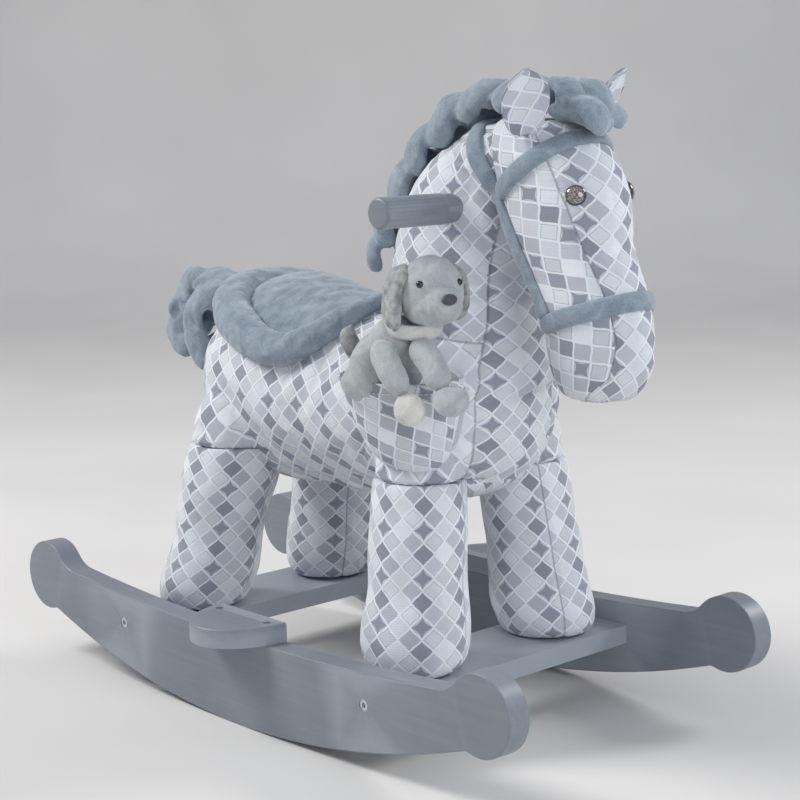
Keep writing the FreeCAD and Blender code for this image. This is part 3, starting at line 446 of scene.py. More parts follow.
body_cotton = printed_cotton("printed_cotton_body", 45.0, ("seam_chest", "seam_neck", "seam_hip"))
leg_cotton = printed_cotton("printed_cotton_legs", 45.0, ("seam_leg",))
cheek_cotton = printed_cotton("printed_cotton_cheeks", 8.0, ("seam_face",))
brow_cotton = printed_cotton("printed_cotton_brow", 45.0, ("seam_face",))
patch_cotton = printed_cotton("printed_cotton_patches", 24.0)
print("printed", TILE_MM, "mm tiles")

# %% [markdown]
# Plush: short brushed polyester pile. Light catches the tips at a grazing angle, which is sheen. The
# pile leans this way and that, and its soft lighter and darker streaks are painted sheen in the
# colour; the same noise gives the bump. Single fibres are too fine to see, so the nap is drawn as a
# one-millimetre grain.


# %% Plush
def plush(name, light, dark, nap_mm=1.3, lean_and_sheen_mm=24.0, curls_and_hollow_shade=0.0):
    material, tree, shader = finish_material(name, {"Roughness": 0.92, "Specular IOR Level": 0.15,
                                                    "Sheen Weight": 0.45, "Sheen Roughness": 0.42})
    place = add(tree, "ShaderNodeTexCoord", out=3)
    lean_and_sheen_streaks = add(tree, "ShaderNodeTexNoise", {}, {"Vector": place, "Scale": per_mm(lean_and_sheen_mm), "Detail": 4.0,
                                                "Roughness": 0.62, "Distortion": 1.2})
    nap = add(tree, "ShaderNodeTexNoise", {}, {"Vector": place, "Scale": per_mm(nap_mm), "Detail": 3.0,
                                               "Roughness": 0.7})
    # painted sheen: the lean noise paints lighter and darker streaks into the colour; the nap noise is grain
    tone = add(tree, MATH, {"operation": "MULTIPLY_ADD"}, [nap, 0.42,
                                                           add(tree, MATH, {"operation": "MULTIPLY"},
                                                               [lean_and_sheen_streaks, 0.58])])
    height = add(tree, MATH, {"operation": "MULTIPLY_ADD"}, [lean_and_sheen_streaks, 0.5,
                                                             add(tree, MATH, {"operation": "MULTIPLY"},
                                                                 [nap, 0.35])])
    if curls_and_hollow_shade:
        knots = add(tree, "ShaderNodeTexVoronoi", {"feature": "SMOOTH_F1"},
                    {"Vector": place, "Scale": per_mm(5.5)})
        # painted shade: the hollows between the curls are darkened by this amount; the same knots sink the
        # bump
        tone = add(tree, MATH, {"operation": "MULTIPLY_ADD"}, [knots, -curls_and_hollow_shade,
                                                               add(tree, MATH, {"operation": "ADD"},
                                                                   [tone, curls_and_hollow_shade * 0.5])])
        height = add(tree, MATH, {"operation": "MULTIPLY_ADD"}, [knots, -1.2, height])
    tree.links.new(add(tree, "ShaderNodeValToRGB", {}, {"Fac": tone}, stops=((0.34, dark), (0.66, light))),
                   shader.inputs["Base Color"])
    relief = add(tree, "ShaderNodeBump", {}, {"Height": height, "Distance": 1.4 * MM, "Strength": 0.5})
    tree.links.new(relief, shader.inputs["Normal"])
    return material


blue_plush = plush("blue_grey_plush", "#A3B0BA", "#74838F")
cream_plush = plush("cream_plush", "#E2E0DA", "#C3C2BE")
dog_plush = plush("light_grey_dog_plush", "#C4C8C8", "#A0A6A8")
ear_plush = plush("curly_grey_plush", "#B4B5B2", "#6E7274", curls_and_hollow_shade=0.35)
print("plush", blue_plush.name, cream_plush.name, dog_plush.name, ear_plush.name)


# %% [markdown]
# Thread, eyes and nose. Stitches are lustrous polyester thread. The horse's eyes are clear domes over
# a glitter film with a dark rim, and the dog's are plain black beads. Its nose is satin stitch.

# %% Thread, eye and nose
def thread(name, light, dark):
    material, tree, shader = finish_material(name, {"Roughness": 0.5, "Sheen Weight": 0.2})
    place = add(tree, "ShaderNodeTexCoord", out=3)
    twist = add(tree, "ShaderNodeTexNoise", {}, {"Vector": place, "Scale": per_mm(0.7), "Detail": 3.0})
    tree.links.new(add(tree, "ShaderNodeValToRGB", {}, {"Fac": twist}, stops=((0.3, dark), (0.7, light))),
                   shader.inputs["Base Color"])
    relief = add(tree, "ShaderNodeBump", {}, {"Height": twist, "Distance": 0.2 * MM, "Strength": 0.6})
    tree.links.new(relief, shader.inputs["Normal"])
    return material


def glitter_eye():
    """Glitter under a clear dome; the rim is dark."""
    material, tree, shader = finish_material("clear_dome_over_glitter",
                                             {"Roughness": 0.12, "Coat Weight": 1.0, "Coat Roughness": 0.03,
                                              "Metallic": 0.25})
    place = add(tree, "ShaderNodeTexCoord", out=3)
    flakes = add(tree, "ShaderNodeTexVoronoi", {}, {"Vector": place, "Scale": per_mm(0.9)}, out=1)
    shade = add(tree, "ShaderNodeSeparateColor", {}, {"Color": flakes})
    film = add(tree, "ShaderNodeValToRGB", {}, {"Fac": shade},
               stops=((0.1, "#5E5A57"), (0.5, "#88827D"), (0.95, "#B4ADA7")))
    rim = add(tree, "ShaderNodeAttribute", {"attribute_name": "rim"}, out=2)
    ring = add(tree, "ShaderNodeMapRange", {}, {"Value": rim, "From Min": 0.76, "From Max": 0.86})
    colour = add(tree, "ShaderNodeMix", {"data_type": "RGBA"}, {0: ring, 6: film, 7: linear("#34363A")},
                 out=2)
    tree.links.new(colour, shader.inputs["Base Color"])
    relief = add(tree, "ShaderNodeBump", {}, {"Height": shade, "Distance": 0.05 * MM, "Strength": 0.2})
    tree.links.new(relief, shader.inputs["Normal"])
    return material


def black_bead():
    material, tree, shader = finish_material("polished_black_bead", {"Roughness": 0.08, "Coat Weight": 0.6})
    place = add(tree, "ShaderNodeTexCoord", out=3)
    haze = add(tree, "ShaderNodeTexNoise", {}, {"Vector": place, "Scale": per_mm(2), "Detail": 2.0})
    tree.links.new(add(tree, "ShaderNodeValToRGB", {}, {"Fac": haze},
                       stops=((0.3, "#0B0C0E"), (0.7, "#191B1F"))), shader.inputs["Base Color"])
    return material


white_thread = thread("white_polyester_thread", "#F1F3F6", "#C9CED6")
nose_thread = thread("dark_satin_stitch_thread", "#5A5C60", "#2E3034")
bead = black_bead()
eye_film = glitter_eye()
print("small finishes", white_thread.name, nose_thread.name, bead.name, eye_film.name)

# %% [markdown]
# The stuffed body is cut in panels and filled hard. Its plain form is three lofts run together: the
# barrel of the torso, the column of the neck and the rounded tops of the legs. Sections are level or
# upright ellipses, joined by a smooth curve through the sizes that the pattern gives.

# %% Sections of the stuffed forms
# torso: X, centre Z, half width, half height
TORSO = (
    (-188, 306, 30, 30), (-178, 305, 58, 58), (-150, 303, 84, 86), (-95, 302, 97, 100), (0, 296, 97, 91),
    (90, 297, 98, 90), (150, 300, 92, 86), (195, 300, 66, 62), (212, 300, 32, 30),
)
# neck and head: Z, centre X, half length, half width
NECK = (
    (326, 150, 78, 82), (378, 148, 80, 71), (430, 146, 79, 61), (480, 156, 76, 53), (525, 182, 66, 47),
    (556, 206, 42, 32),
)
HEAD = (
    (322, 300, 18, 16), (332, 302, 38, 31), (352, 304, 49, 39), (378, 303, 52, 42), (410, 294, 54, 42),
    (454, 272, 60, 44), (497, 262, 63, 47), (532, 246, 58, 46), (552, 236, 44, 37), (562, 232, 22, 20),
)
BOARD_TOP_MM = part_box("front_cross_board")[1].z / MM
SPINE_BOTTOM_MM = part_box("spine_board")[0].z / MM
FRONT_LEG = ((158, 87), (142, 60), 44)       # foot and hip X and Y, hip radius
REAR_LEG = ((-164, 86), (-112, 62), 49)
LEG_FOOT_R = 47.5
LEG_MID_R = 46.5
LEG_MID_Z = 150
LEG_SEAM_Z = 240
UNDERSIZE = 2.5               # the pattern is this much smaller than the filled piece


def smooth_rows(rows, step):
    """The rows of a table, read every step along a smooth curve through them."""
    rows = np.asarray(rows, float)
    at = np.concatenate([[0], np.cumsum(np.linalg.norm(np.diff(rows, axis=0), axis=1))])
    slope = np.gradient(rows, at, axis=0)
    new = np.linspace(0, at[-1], max(int(at[-1] / step), 2) + 1)
    left = np.clip(np.searchsorted(at, new, side="right") - 1, 0, len(at) - 2)
    gap = (at[left + 1] - at[left])[:, None]
    t = (new - at[left])[:, None] / gap
    return ((2 * t ** 3 - 3 * t ** 2 + 1) * rows[left] + (t ** 3 - 2 * t ** 2 + t) * gap * slope[left]
            + (3 * t ** 2 - 2 * t ** 3) * rows[left + 1] + (t ** 3 - t ** 2) * gap * slope[left + 1])


def closed_loft(rings):
    """Points and faces of a closed skin over rings of equal length, with a point at each end."""
    rings = np.asarray(rings, float)
    count, around = rings.shape[:2]
    points = [*rings.reshape(-1, 3), rings[0].mean(0), rings[-1].mean(0)]
    faces = []
    for i in range(count - 1):
        for j in range(around):
            k = (j + 1) % around
            faces.append((i * around + j, i * around + k, (i + 1) * around + k, (i + 1) * around + j))
    for j in range(around):
        k = (j + 1) % around
        faces.append((count * around, k, j))
        faces.append((count * around + 1, (count - 1) * around + j, (count - 1) * around + k))
    return points, faces


def ellipse(centre, axis_a, half_a, axis_b, half_b, around):
    turn = np.linspace(0, 2 * math.pi, around, endpoint=False)[:, None]
    return (np.asarray(centre, float) + np.asarray(axis_a, float) * half_a * np.cos(turn)
            + np.asarray(axis_b, float) * half_b * np.sin(turn))


def upright_rings(rows, around, shrink=0.0, step=5.0):
    return [ellipse((x, 0, z), (1, 0, 0), max(a - shrink, 4), (0, 1, 0), max(b - shrink, 4), around)
            for z, x, a, b in smooth_rows(rows, step)]


def leg_centre(leg, z):
    foot, hip, _ = leg
    share = (z - BOARD_TOP_MM) / (SPINE_BOTTOM_MM - BOARD_TOP_MM)
    return foot[0] + (hip[0] - foot[0]) * share, foot[1] + (hip[1] - foot[1]) * share


print("torso length", TORSO[-1][0] - TORSO[0][0], "mm, head height", HEAD[-1][0] - HEAD[0][0], "mm")


# %% Joining forms into one skin
def merged_skin(name, parts, voxel_mm, rounds=6):
    """One closed skin round several closed forms, with its hollows softened."""
    points, faces = [], []
    for part_points, part_faces in parts:
        start = len(points)
        points.extend(part_points)
        faces.extend(tuple(start + index for index in face) for face in part_faces)
    raw = mesh_object(name + "_raw", points, faces)
    remesh = raw.modifiers.new("voxels", "REMESH")
    remesh.mode = "VOXEL"
    remesh.voxel_size = voxel_mm * MM
    remesh.use_smooth_shade = True
    soften = raw.modifiers.new("soften", "SMOOTH")
    soften.factor = 0.5
    soften.iterations = rounds
    made = plain_mesh(raw, name)
    bpy.data.objects.remove(raw)
    return made


def plain_mesh(source, name):
    """The evaluated mesh of an object, as a new object without modifiers."""
    evaluated = source.evaluated_get(bpy.context.evaluated_depsgraph_get())
    mesh = bpy.data.meshes.new_from_object(evaluated)
    mesh.name = name
    made = bpy.data.objects.new(name, mesh)
    bpy.context.scene.collection.objects.link(made)
    return made


def points_of(piece):
    values = np.empty(len(piece.data.vertices) * 3)
    piece.data.vertices.foreach_get("co", values)
    return values.reshape(-1, 3) / MM


def set_points(piece, points):
    piece.data.vertices.foreach_set("co", (points * MM).ravel())
    piece.data.update()


def normals_of(piece):
    values = np.empty(len(piece.data.vertices) * 3)
    piece.data.vertices.foreach_get("normal", values)
    return values.reshape(-1, 3)


def torso_part():
    rings = []
    for x, z, half_width, half_height in smooth_rows(TORSO, 6.0):
        rings.append(ellipse((x, 0, z), (0, 1, 0), max(half_width - UNDERSIZE, 4), (0, 0, 1),
                             max(half_height - UNDERSIZE, 4), 72))
    return closed_loft(rings)


def hip_part(leg, side):
    """The rounded top of a leg, which belongs to the body's own panels."""
    rings = []
    for z, share in ((LEG_SEAM_Z - 1, 0.95), (LEG_SEAM_Z + 5, 1.0), (262, 0.98), (285, 0.86), (302, 0.55)):
        x, y = leg_centre(leg, z)
        radius = (leg[2] - UNDERSIZE) * share
        rings.append(ellipse((x, y * side, z), (1, 0, 0), radius, (0, 1, 0), radius, 40))
    return closed_loft(rings)


body_parts = [torso_part(), closed_loft(upright_rings(NECK, 64, UNDERSIZE))]
body_parts += [hip_part(leg, side) for leg in (FRONT_LEG, REAR_LEG) for side in (-1, 1)]
body_cover = merged_skin("body_cover", body_parts, 5.0)
print("body cover", len(body_cover.data.vertices), "points")

# %% [markdown]
# The head is one column of stuffing: narrow chin, broad cheeks, round skull. A front panel runs from
# the brow over the nose to the chin, so the seam to each cheek is a line at a set turn round the head.
# Keeping the loft's own grid of quads lets the fabric map stay exact through the simulation.

# %% Head
HEAD_AROUND = 96
# how far round the head the cheek seam lies: Z, degrees from straight ahead
FACE_SEAM = ((322, 80), (333, 66), (346, 46), (376, 37), (404, 39), (425, 42), (454, 46), (479, 53),
             (504, 58), (528, 58), (562, 60))


def grid_map(rings, radius, start=0.0, front=0):
    """The cloth map of a closed loft: round it by arc from the front column, up it by length."""
    rings = np.asarray(rings, float)
    count, around = rings.shape[:2]
    step = np.linalg.norm(np.diff(rings, axis=0), axis=2).mean(1)
    up = np.concatenate([[0], np.cumsum(step)]) + start
    radius = np.broadcast_to(radius, count)
    step_turn = 2 * math.pi / around
    columns = (np.arange(around) - front + around // 2) % around - around // 2
    uvs = []
    for i in range(count - 1):
        low, high = radius[i] * step_turn, radius[i + 1] * step_turn
        for j in columns:
            uvs += [(j * low, up[i]), ((j + 1) * low, up[i]), ((j + 1) * high, up[i + 1]),
                    (j * high, up[i + 1])]
    low, high = radius[0] * step_turn, radius[-1] * step_turn
    for j in columns:
        uvs += [(j * low, up[0]), ((j + 1) * low, up[0]), (j * low, up[0])]
        uvs += [(j * high, up[-1]), (j * high, up[-1]), ((j + 1) * high, up[-1])]
    return uvs


head_rings = upright_rings(HEAD, HEAD_AROUND, UNDERSIZE, 3.6)
head_points, head_faces = closed_loft(head_rings)
head_cover = mesh_object("head_cover", head_points, head_faces, grid_map(head_rings, 44.0, 322.0))
print("head", len(head_points), "points")

# %% [markdown]
# Each leg is a tube of four panels, filled hard and gathered at the hip seam. Its hem is turned in
# and sits flat on the cross board. The tube follows the line of the wooden post inside it.

# %% Legs
LEG_AROUND = 72
LEG_STEP_MM = 4.5


def leg_piece(name, leg, side):
    rows = []
    hip_r = leg[2]
    table = ((BOARD_TOP_MM + 0.8, LEG_FOOT_R - 8), (BOARD_TOP_MM + 3, LEG_FOOT_R - 2.5),
             (BOARD_TOP_MM + 9, LEG_FOOT_R), (LEG_MID_Z, LEG_MID_R), (LEG_SEAM_Z - 16, hip_r + 0.5),
             (LEG_SEAM_Z - 4, hip_r - 0.5), (LEG_SEAM_Z + 1.5, hip_r - 4.0))
    for z, radius in table:
        x, y = leg_centre(leg, z)
        rows.append((z, x, y * side, radius))
    rings = [ellipse((x, y, z), (1, 0, 0), r - UNDERSIZE, (0, 1, 0), r - UNDERSIZE, LEG_AROUND)
             for z, x, y, r in smooth_rows(rows, LEG_STEP_MM)]
    points, faces = closed_loft(rings)
    return mesh_object(name, points, faces, grid_map(rings, 47.0, BOARD_TOP_MM))


legs = {}
for end, leg in (("front", FRONT_LEG), ("rear", REAR_LEG)):
    for hand, side in (("right", -1), ("left", 1)):
        legs[end + "_" + hand] = leg_piece("leg_cover_" + end + "_" + hand, leg, side)
print("legs", len(legs))

# %% [markdown]
# Stuffing the covers. Every cover becomes cloth with air pressure inside, as a pump would fill it,
# and with its sewn edges held still. A little spare fabric gives soft folds beside the seams. The
# movement is capped, so no piece grows past its pattern size.


# %% Cloth simulation
def signed_seams(piece_points):
    """Signed distances in millimetres from the body's seams: chest panel, neck and hips."""
    x, y, z = piece_points.T
    chest_half = np.interp(z, (250, 282, 345, 384, 470), (46, 51, 50, 41, 30))
    chest = np.where(x > 150, np.abs(y) - chest_half, 40.0)
    neck_level = 372 - 0.12 * (x - 170)
    neck = np.where((np.abs(y) > chest_half - 1) | (x < 150), z - neck_level, 40.0)
    hip = z - LEG_SEAM_Z
    return {"seam_chest": chest, "seam_neck": neck, "seam_hip": hip}


def fill(pieces, pressure=4.0, spare=0.0, frames=20):
    """Fills the covers: each entry is (piece, points held still, cap in millimetres)."""
    before = {}
    for piece, held, cap in pieces:
        before[piece.name] = points_of(piece)
        group = piece.vertex_groups.new(name="held")
        group.add([int(i) for i in np.nonzero(held)[0]], 1.0, "REPLACE")
        cloth = piece.modifiers.new("filling", "CLOTH")
        settings = cloth.settings
        settings.quality = 4
        settings.mass = 0.3
        settings.tension_stiffness = 12
        settings.compression_stiffness = 12
        settings.shear_stiffness = 5
        settings.bending_stiffness = 0.4
        settings.use_pressure = True
        settings.uniform_pressure_force = pressure
        settings.shrink_min = -spare
        settings.vertex_group_mass = "held"
        settings.effector_weights.gravity = 0.0
        cloth.point_cache.frame_start = 1
        cloth.point_cache.frame_end = frames
    for number in range(1, frames + 1):
        bpy.context.scene.frame_set(number)
    graph = bpy.context.evaluated_depsgraph_get()
    for piece, held, cap in pieces:
        settled = points_of(piece.evaluated_get(graph))
        move = settled - before[piece.name]
        size = np.linalg.norm(move, axis=1, keepdims=True)
        move *= np.minimum(1.0, cap / np.maximum(size, 1e-6))
        piece.modifiers.clear()
        piece.vertex_groups.clear()
        set_points(piece, before[piece.name] + move)
        print(piece.name, "moved", round(float(size.mean()), 1), "mm, at most", round(float(size.max()), 1))
    bpy.context.scene.frame_set(1)


body_points = points_of(body_cover)
body_seams = signed_seams(body_points)
body_held = np.minimum(np.abs(body_seams["seam_chest"]), np.abs(body_seams["seam_neck"])) < 3.5
body_held |= np.abs(body_seams["seam_hip"] - 2) < 4
body_held |= (body_points[:, 2] > 355) & (body_points[:, 0] < 62)
head_held = (points_of(head_cover)[:, 2] < 325) | (points_of(head_cover)[:, 2] > 559)
batch = [(body_cover, body_held, 6.0), (head_cover, head_held, 4.5)]
for piece in legs.values():
    height = points_of(piece)[:, 2]
    batch.append((piece, (height < BOARD_TOP_MM + 8) | (height > LEG_SEAM_Z - 2), 5.0))
fill(batch, spare=0.035)

# %% [markdown]
# After the filling, each skin gets one subdivision and its seams. A sewn seam pulls its line in by
# about a millimetre and a half, and the fabric between two stitches puffs out beside it.


# %% Seams
def subdivide(piece):
    divide = piece.modifiers.new("divide", "SUBSURF")
    divide.levels = 1
    divide.render_levels = 1
    made = plain_mesh(piece, piece.name + "_fine")
    mesh = made.data
    old = piece.data
    piece.modifiers.clear()
    piece.data = mesh
    bpy.data.meshes.remove(old)
    bpy.data.objects.remove(made)
    mesh.name = piece.name
    mesh.polygons.foreach_set("use_smooth", [True] * len(mesh.polygons))
    return piece


def sew(piece, seams, depth=1.6, width=4.0, pucker=0.5, pitch=7.0):
    """Pulls seam lines in, puckers the fabric beside them and stores the signed distances."""
    points = points_of(piece)
    normals = normals_of(piece)
    for name, (distance, along) in seams.items():
        groove = -depth * np.exp(-(distance / width) ** 2)
        ripple = pucker * np.sin(2 * math.pi * along / pitch) * np.exp(-(distance / (2.2 * width)) ** 2)
        ripple *= np.minimum(np.abs(distance) / 2.0, 1.0)
        points += normals * (groove + ripple)[:, None]
        attribute = piece.data.attributes.new(name, "FLOAT", "POINT")
        attribute.data.foreach_set("value", np.clip(distance, -30, 30))
    set_points(piece, points)


def soft_waves(piece, amount, size, seed):
    """Shallow unevenness of hand stuffing, as a sum of a few slow waves."""
    chance = random.Random(seed)
    points = points_of(piece)
    total = np.zeros(len(points))
    for _ in range(9):
        way = np.array([chance.gauss(0, 1) for _ in range(3)])
        way *= 2 * math.pi / (size * (0.7 + 0.8 * chance.random())) / np.linalg.norm(way)
        total += np.sin(points @ way + chance.random() * 2 * math.pi)
    set_points(piece, points + normals_of(piece) * (amount * total / 3.0)[:, None])


subdivide(body_cover)
soft_waves(body_cover, 0.9, 70, 3)
body_points = points_of(body_cover)
distances = signed_seams(body_points)
x, y, z = body_points.T
hip_near = np.minimum(np.hypot(x - 142, np.abs(y) - 64), np.hypot(x + 118, np.abs(y) - 66)) < 60
distances["seam_hip"] = np.where(hip_near, distances["seam_hip"], 30.0)
sew(body_cover, {"seam_chest": (distances["seam_chest"], z), "seam_neck": (distances["seam_neck"], x + y),
                 "seam_hip": (distances["seam_hip"], x * 0.7 + y * 0.7)})
print("body seams", sorted(distances))

subdivide(head_cover)
soft_waves(head_cover, 0.5, 50, 5)
FACE_SEAM_R = 47.0
head_points = points_of(head_cover)
head_table = smooth_rows(HEAD, 2.0)
head_x = np.interp(head_points[:, 2], head_table[:, 0], head_table[:, 1])
head_long = np.interp(head_points[:, 2], head_table[:, 0], head_table[:, 2])
head_wide = np.interp(head_points[:, 2], head_table[:, 0], head_table[:, 3])
face_turn = np.degrees(np.arctan2(np.abs(head_points[:, 1]) / head_wide,
                                  (head_points[:, 0] - head_x) / head_long))
seam_turn = np.interp(head_points[:, 2], *np.array(FACE_SEAM, float).T)
face_distance = np.radians(face_turn - seam_turn) * FACE_SEAM_R
sew(head_cover, {"seam_face": (face_distance, head_points[:, 2])}, 1.3, 3.5, 0.35)
print("cheek seams at", FACE_SEAM[3][1], "to", FACE_SEAM[8][1], "degrees")

LEG_SEAM_TURN = -23.0          # degrees from straight ahead, towards the inside
LEG_SEAM_R = 45.0
for number, (name, piece) in enumerate(sorted(legs.items())):
    subdivide(piece)
    soft_waves(piece, 0.8, 46, 11 + number)
    leg = FRONT_LEG if name.startswith("front") else REAR_LEG
    side = -1 if name.endswith("right") else 1
    points = points_of(piece)
    centres = np.array([leg_centre(leg, height) for height in points[:, 2]])
    turn = np.arctan2((points[:, 1] - centres[:, 1] * side) * side, points[:, 0] - centres[:, 0])
    line = (turn - math.radians(LEG_SEAM_TURN)) * LEG_SEAM_R
    sew(piece, {"seam_leg": (line, points[:, 2])}, 1.0, 3.0, 0.3)
print("legs sewn")

# %% [markdown]
# The body's cloth map is drawn on after the simulation. The torso is close to a capsule, so a point's
# place on the fabric is its length along the barrel, carried round chest and rump by arc, and its
# height by arc up and down the side. Neck and chest are panels of their own, as they are sewn.

# %% Cloth map of the body
CAPSULE_FRONT_X = 100.0
CAPSULE_REAR_X = -88.0
CAPSULE_MIDDLE_Z = 298.0
CAPSULE_R = 96.0
NECK_TURN_R = 68.0
NECK_DEPTH_SHARE = 1.25        # the neck is this much longer than wide
CHEST_SHIFT = (7.0, 4.0)       # where the chest panel was cut from the roll
CHEST_STRETCH = 1.05
CHEST_BOTTOM_Z = 236


def map_body(piece):
    mesh = piece.data
    corner_points = np.empty(len(mesh.loops), int)
    mesh.loops.foreach_get("vertex_index", corner_points)
    points = points_of(piece)[corner_points]
    centres = np.empty(len(mesh.polygons) * 3)
    mesh.polygons.foreach_get("center", centres)
    sizes = np.empty(len(mesh.polygons), int)
    mesh.polygons.foreach_get("loop_total", sizes)
    panel = np.repeat(centres.reshape(-1, 3) / MM, sizes, axis=0)
    x, y, z = points.T
    side = np.where(panel[:, 1] < 0, 1.0, -1.0)
    core = np.clip(x, CAPSULE_REAR_X, CAPSULE_FRONT_X)
    across = np.abs(y)
    out = np.hypot(x - core, across)
    u = core + CAPSULE_R * np.arctan2(x - core, np.maximum(across, 1e-3))
    v = CAPSULE_R * np.arctan2(z - CAPSULE_MIDDLE_Z, np.maximum(out, 1e-3))
    seams = signed_seams(panel)
    on_neck = (seams["seam_neck"] > 0) & (panel[:, 0] > 60)
    centre_x = np.interp(z, [row[0] for row in NECK], [row[1] for row in NECK])
    u = np.where(on_neck,
                 centre_x + NECK_TURN_R * np.arctan2(x - centre_x,
                                                     np.maximum(across * NECK_DEPTH_SHARE, 1e-3)), u)
    v = np.where(on_neck, z - CAPSULE_MIDDLE_Z, v)
    chest = (seams["seam_chest"] < 0) & (panel[:, 2] > CHEST_BOTTOM_Z)
    u = np.where(chest, (y + CHEST_SHIFT[0]) * side, u)
    v = np.where(chest, (z - CAPSULE_MIDDLE_Z) * CHEST_STRETCH + CHEST_SHIFT[1], v)
    layer = mesh.uv_layers.new(name="cloth")
    layer.data.foreach_set("uv", (np.stack([u * side, v], 1) * MM).ravel())


map_body(body_cover)
body_cover.data.materials.append(body_cotton)
head_cover.data.materials.append(cheek_cotton)
head_cover.data.materials.append(brow_cotton)
face_centres = np.array([tuple(face.center) for face in head_cover.data.polygons]) / MM
centre_x = np.interp(face_centres[:, 2], head_table[:, 0], head_table[:, 1])
centre_long = np.interp(face_centres[:, 2], head_table[:, 0], head_table[:, 2])
centre_wide = np.interp(face_centres[:, 2], head_table[:, 0], head_table[:, 3])
centre_turn = np.degrees(np.arctan2(np.abs(face_centres[:, 1]) / centre_wide,
                                    (face_centres[:, 0] - centre_x) / centre_long))
in_front = centre_turn < np.interp(face_centres[:, 2], *np.array(FACE_SEAM, float).T)
head_cover.data.polygons.foreach_set("material_index", in_front.astype(int))
for piece in legs.values():
    piece.data.materials.append(leg_cotton)
print("cloth maps", [layer.name for layer in body_cover.data.uv_layers])

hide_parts("torso", "neck")
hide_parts("head")
for name, piece in legs.items():
    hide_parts("leg_" + name)
for piece in (body_cover, head_cover, *legs.values()):
    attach(piece, "horse")

# %% [markdown]
# The saddle is a soft oval pad with a thick roll round it. The roll is a stuffed tube: fat behind,
# thinner where its arms meet in front of the seat. Both follow the top of the torso, so their points
# are given in plan and dropped onto the torso's own section curve.

# %% Saddle
SADDLE_LINE = ((38, 0), (38, -20), (33, -46), (18, -68), (-8, -81), (-42, -86), (-80, -82), (-114, -69),
               (-140, -46), (-154, -20), (-157, 0))
ROLL_R = (9, 10, 12.5, 15, 16.5, 18, 20.5, 21.5, 22, 22, 22)
SEAT_PROUD = 9.0
SEAT_CENTRE = (-56.0, 0.0)
torso_rows = smooth_rows(TORSO, 2.0)


def on_torso(x, y, lift=0.0):
    """A point of the torso's top over this place in plan, and its outward direction."""
    middle, wide, high = (np.interp(x, torso_rows[:, 0], torso_rows[:, column]) for column in (1, 2, 3))
    rise = math.sqrt(max(1 - (y / wide) ** 2, 0.02))
    normal = np.array([0.0, y / wide ** 2, rise / high])
    normal /= np.linalg.norm(normal)
    return np.array([x, y, middle + high * rise]) + normal * lift, normal


def sweep(path, outward, half_wide, half_thick, around=22, closed=False):
    """A soft tube along a path: half_wide lies across it, half_thick along outward."""
    path = np.asarray(path, float)
    tangent = np.gradient(path, axis=0)
    if closed:
        tangent[0] = tangent[-1] = path[1] - path[-2]
    tangent /= np.linalg.norm(tangent, axis=1, keepdims=True)
    across = np.cross(outward, tangent)
    across /= np.linalg.norm(across, axis=1, keepdims=True)
    up = np.cross(tangent, across)
    half_wide = np.broadcast_to(half_wide, len(path))
    half_thick = np.broadcast_to(half_thick, len(path))
    rings = [ellipse(p, a, w, u, t, around) for p, a, w, u, t in zip(path, across, half_wide, up, half_thick)]
    return rings


def rounded(sizes, count, end=4):
    """Half sizes along a tube that closes softly at both ends."""
    sizes = np.broadcast_to(sizes, count).astype(float).copy()
    for step in range(end):
        share = math.sin(math.pi / 2 * (step + 0.35) / end)
        sizes[step] *= share
        sizes[-1 - step] *= share
    return sizes


near_line = smooth_rows(np.array(SADDLE_LINE, float), 4.0)
near_r = np.interp(np.linspace(0, 1, len(near_line)), np.linspace(0, 1, len(ROLL_R)), ROLL_R)
roll_plan = np.vstack([near_line, near_line[-2::-1] * (1, -1)])
roll_r = np.concatenate([near_r, near_r[-2::-1]])
placed = [on_torso(x, y, 5.0) for x, y in roll_plan]
roll_rings = sweep([p for p, _ in placed], [n for _, n in placed], roll_r, roll_r * 0.94, 26, closed=True)
saddle_roll = merged_skin("saddle_roll_cover", [closed_loft(roll_rings)], 4.0, 3)
outline = roll_plan - np.array(SEAT_CENTRE)
seat_rings = []
for share in np.linspace(0.08, 1.0, 14):
    seat_rings.append([on_torso(*(outline[i] * share + SEAT_CENTRE), SEAT_PROUD * (1 - share ** 3) - 2.0)[0]
                       for i in range(len(outline) - 1)])
for share in np.linspace(0.97, 0.1, 8):
    seat_rings.append([on_torso(*(outline[i] * share + SEAT_CENTRE),
                                -4.0)[0] for i in range(len(outline) - 1)])
saddle_seat = merged_skin("saddle_seat_cover", [closed_loft(seat_rings)], 4.0, 2)
print("saddle roll", len(saddle_roll.data.vertices), "points, seat", len(saddle_seat.data.vertices))

# %% [markdown]
# The bridle is three bands of padded plush tape. Each lies in a plane through the head, so its path is
# found by looking inward along that plane from all round and stopping at the fabric.

# %% Bridle
STRAP_HALF_WIDE = 8.5
STRAP_HALF_THICK = 4.2
skins = [BVHTree.FromObject(piece, bpy.context.evaluated_depsgraph_get()) for piece in (head_cover,
                                                                                        body_cover)]


def first_touch(start, way, around=skins):
    """Nearest fabric met from start, in millimetres: its place and its outward direction."""
    found = [skin.ray_cast(Vector(start) * MM, Vector(way)) for skin in around]
    found = [hit for hit in found if hit[0] is not None]
    if not found:
        return None
    hit = min(found, key=lambda one: one[3])
    return np.array(hit[0]) / MM, np.array(hit[1])


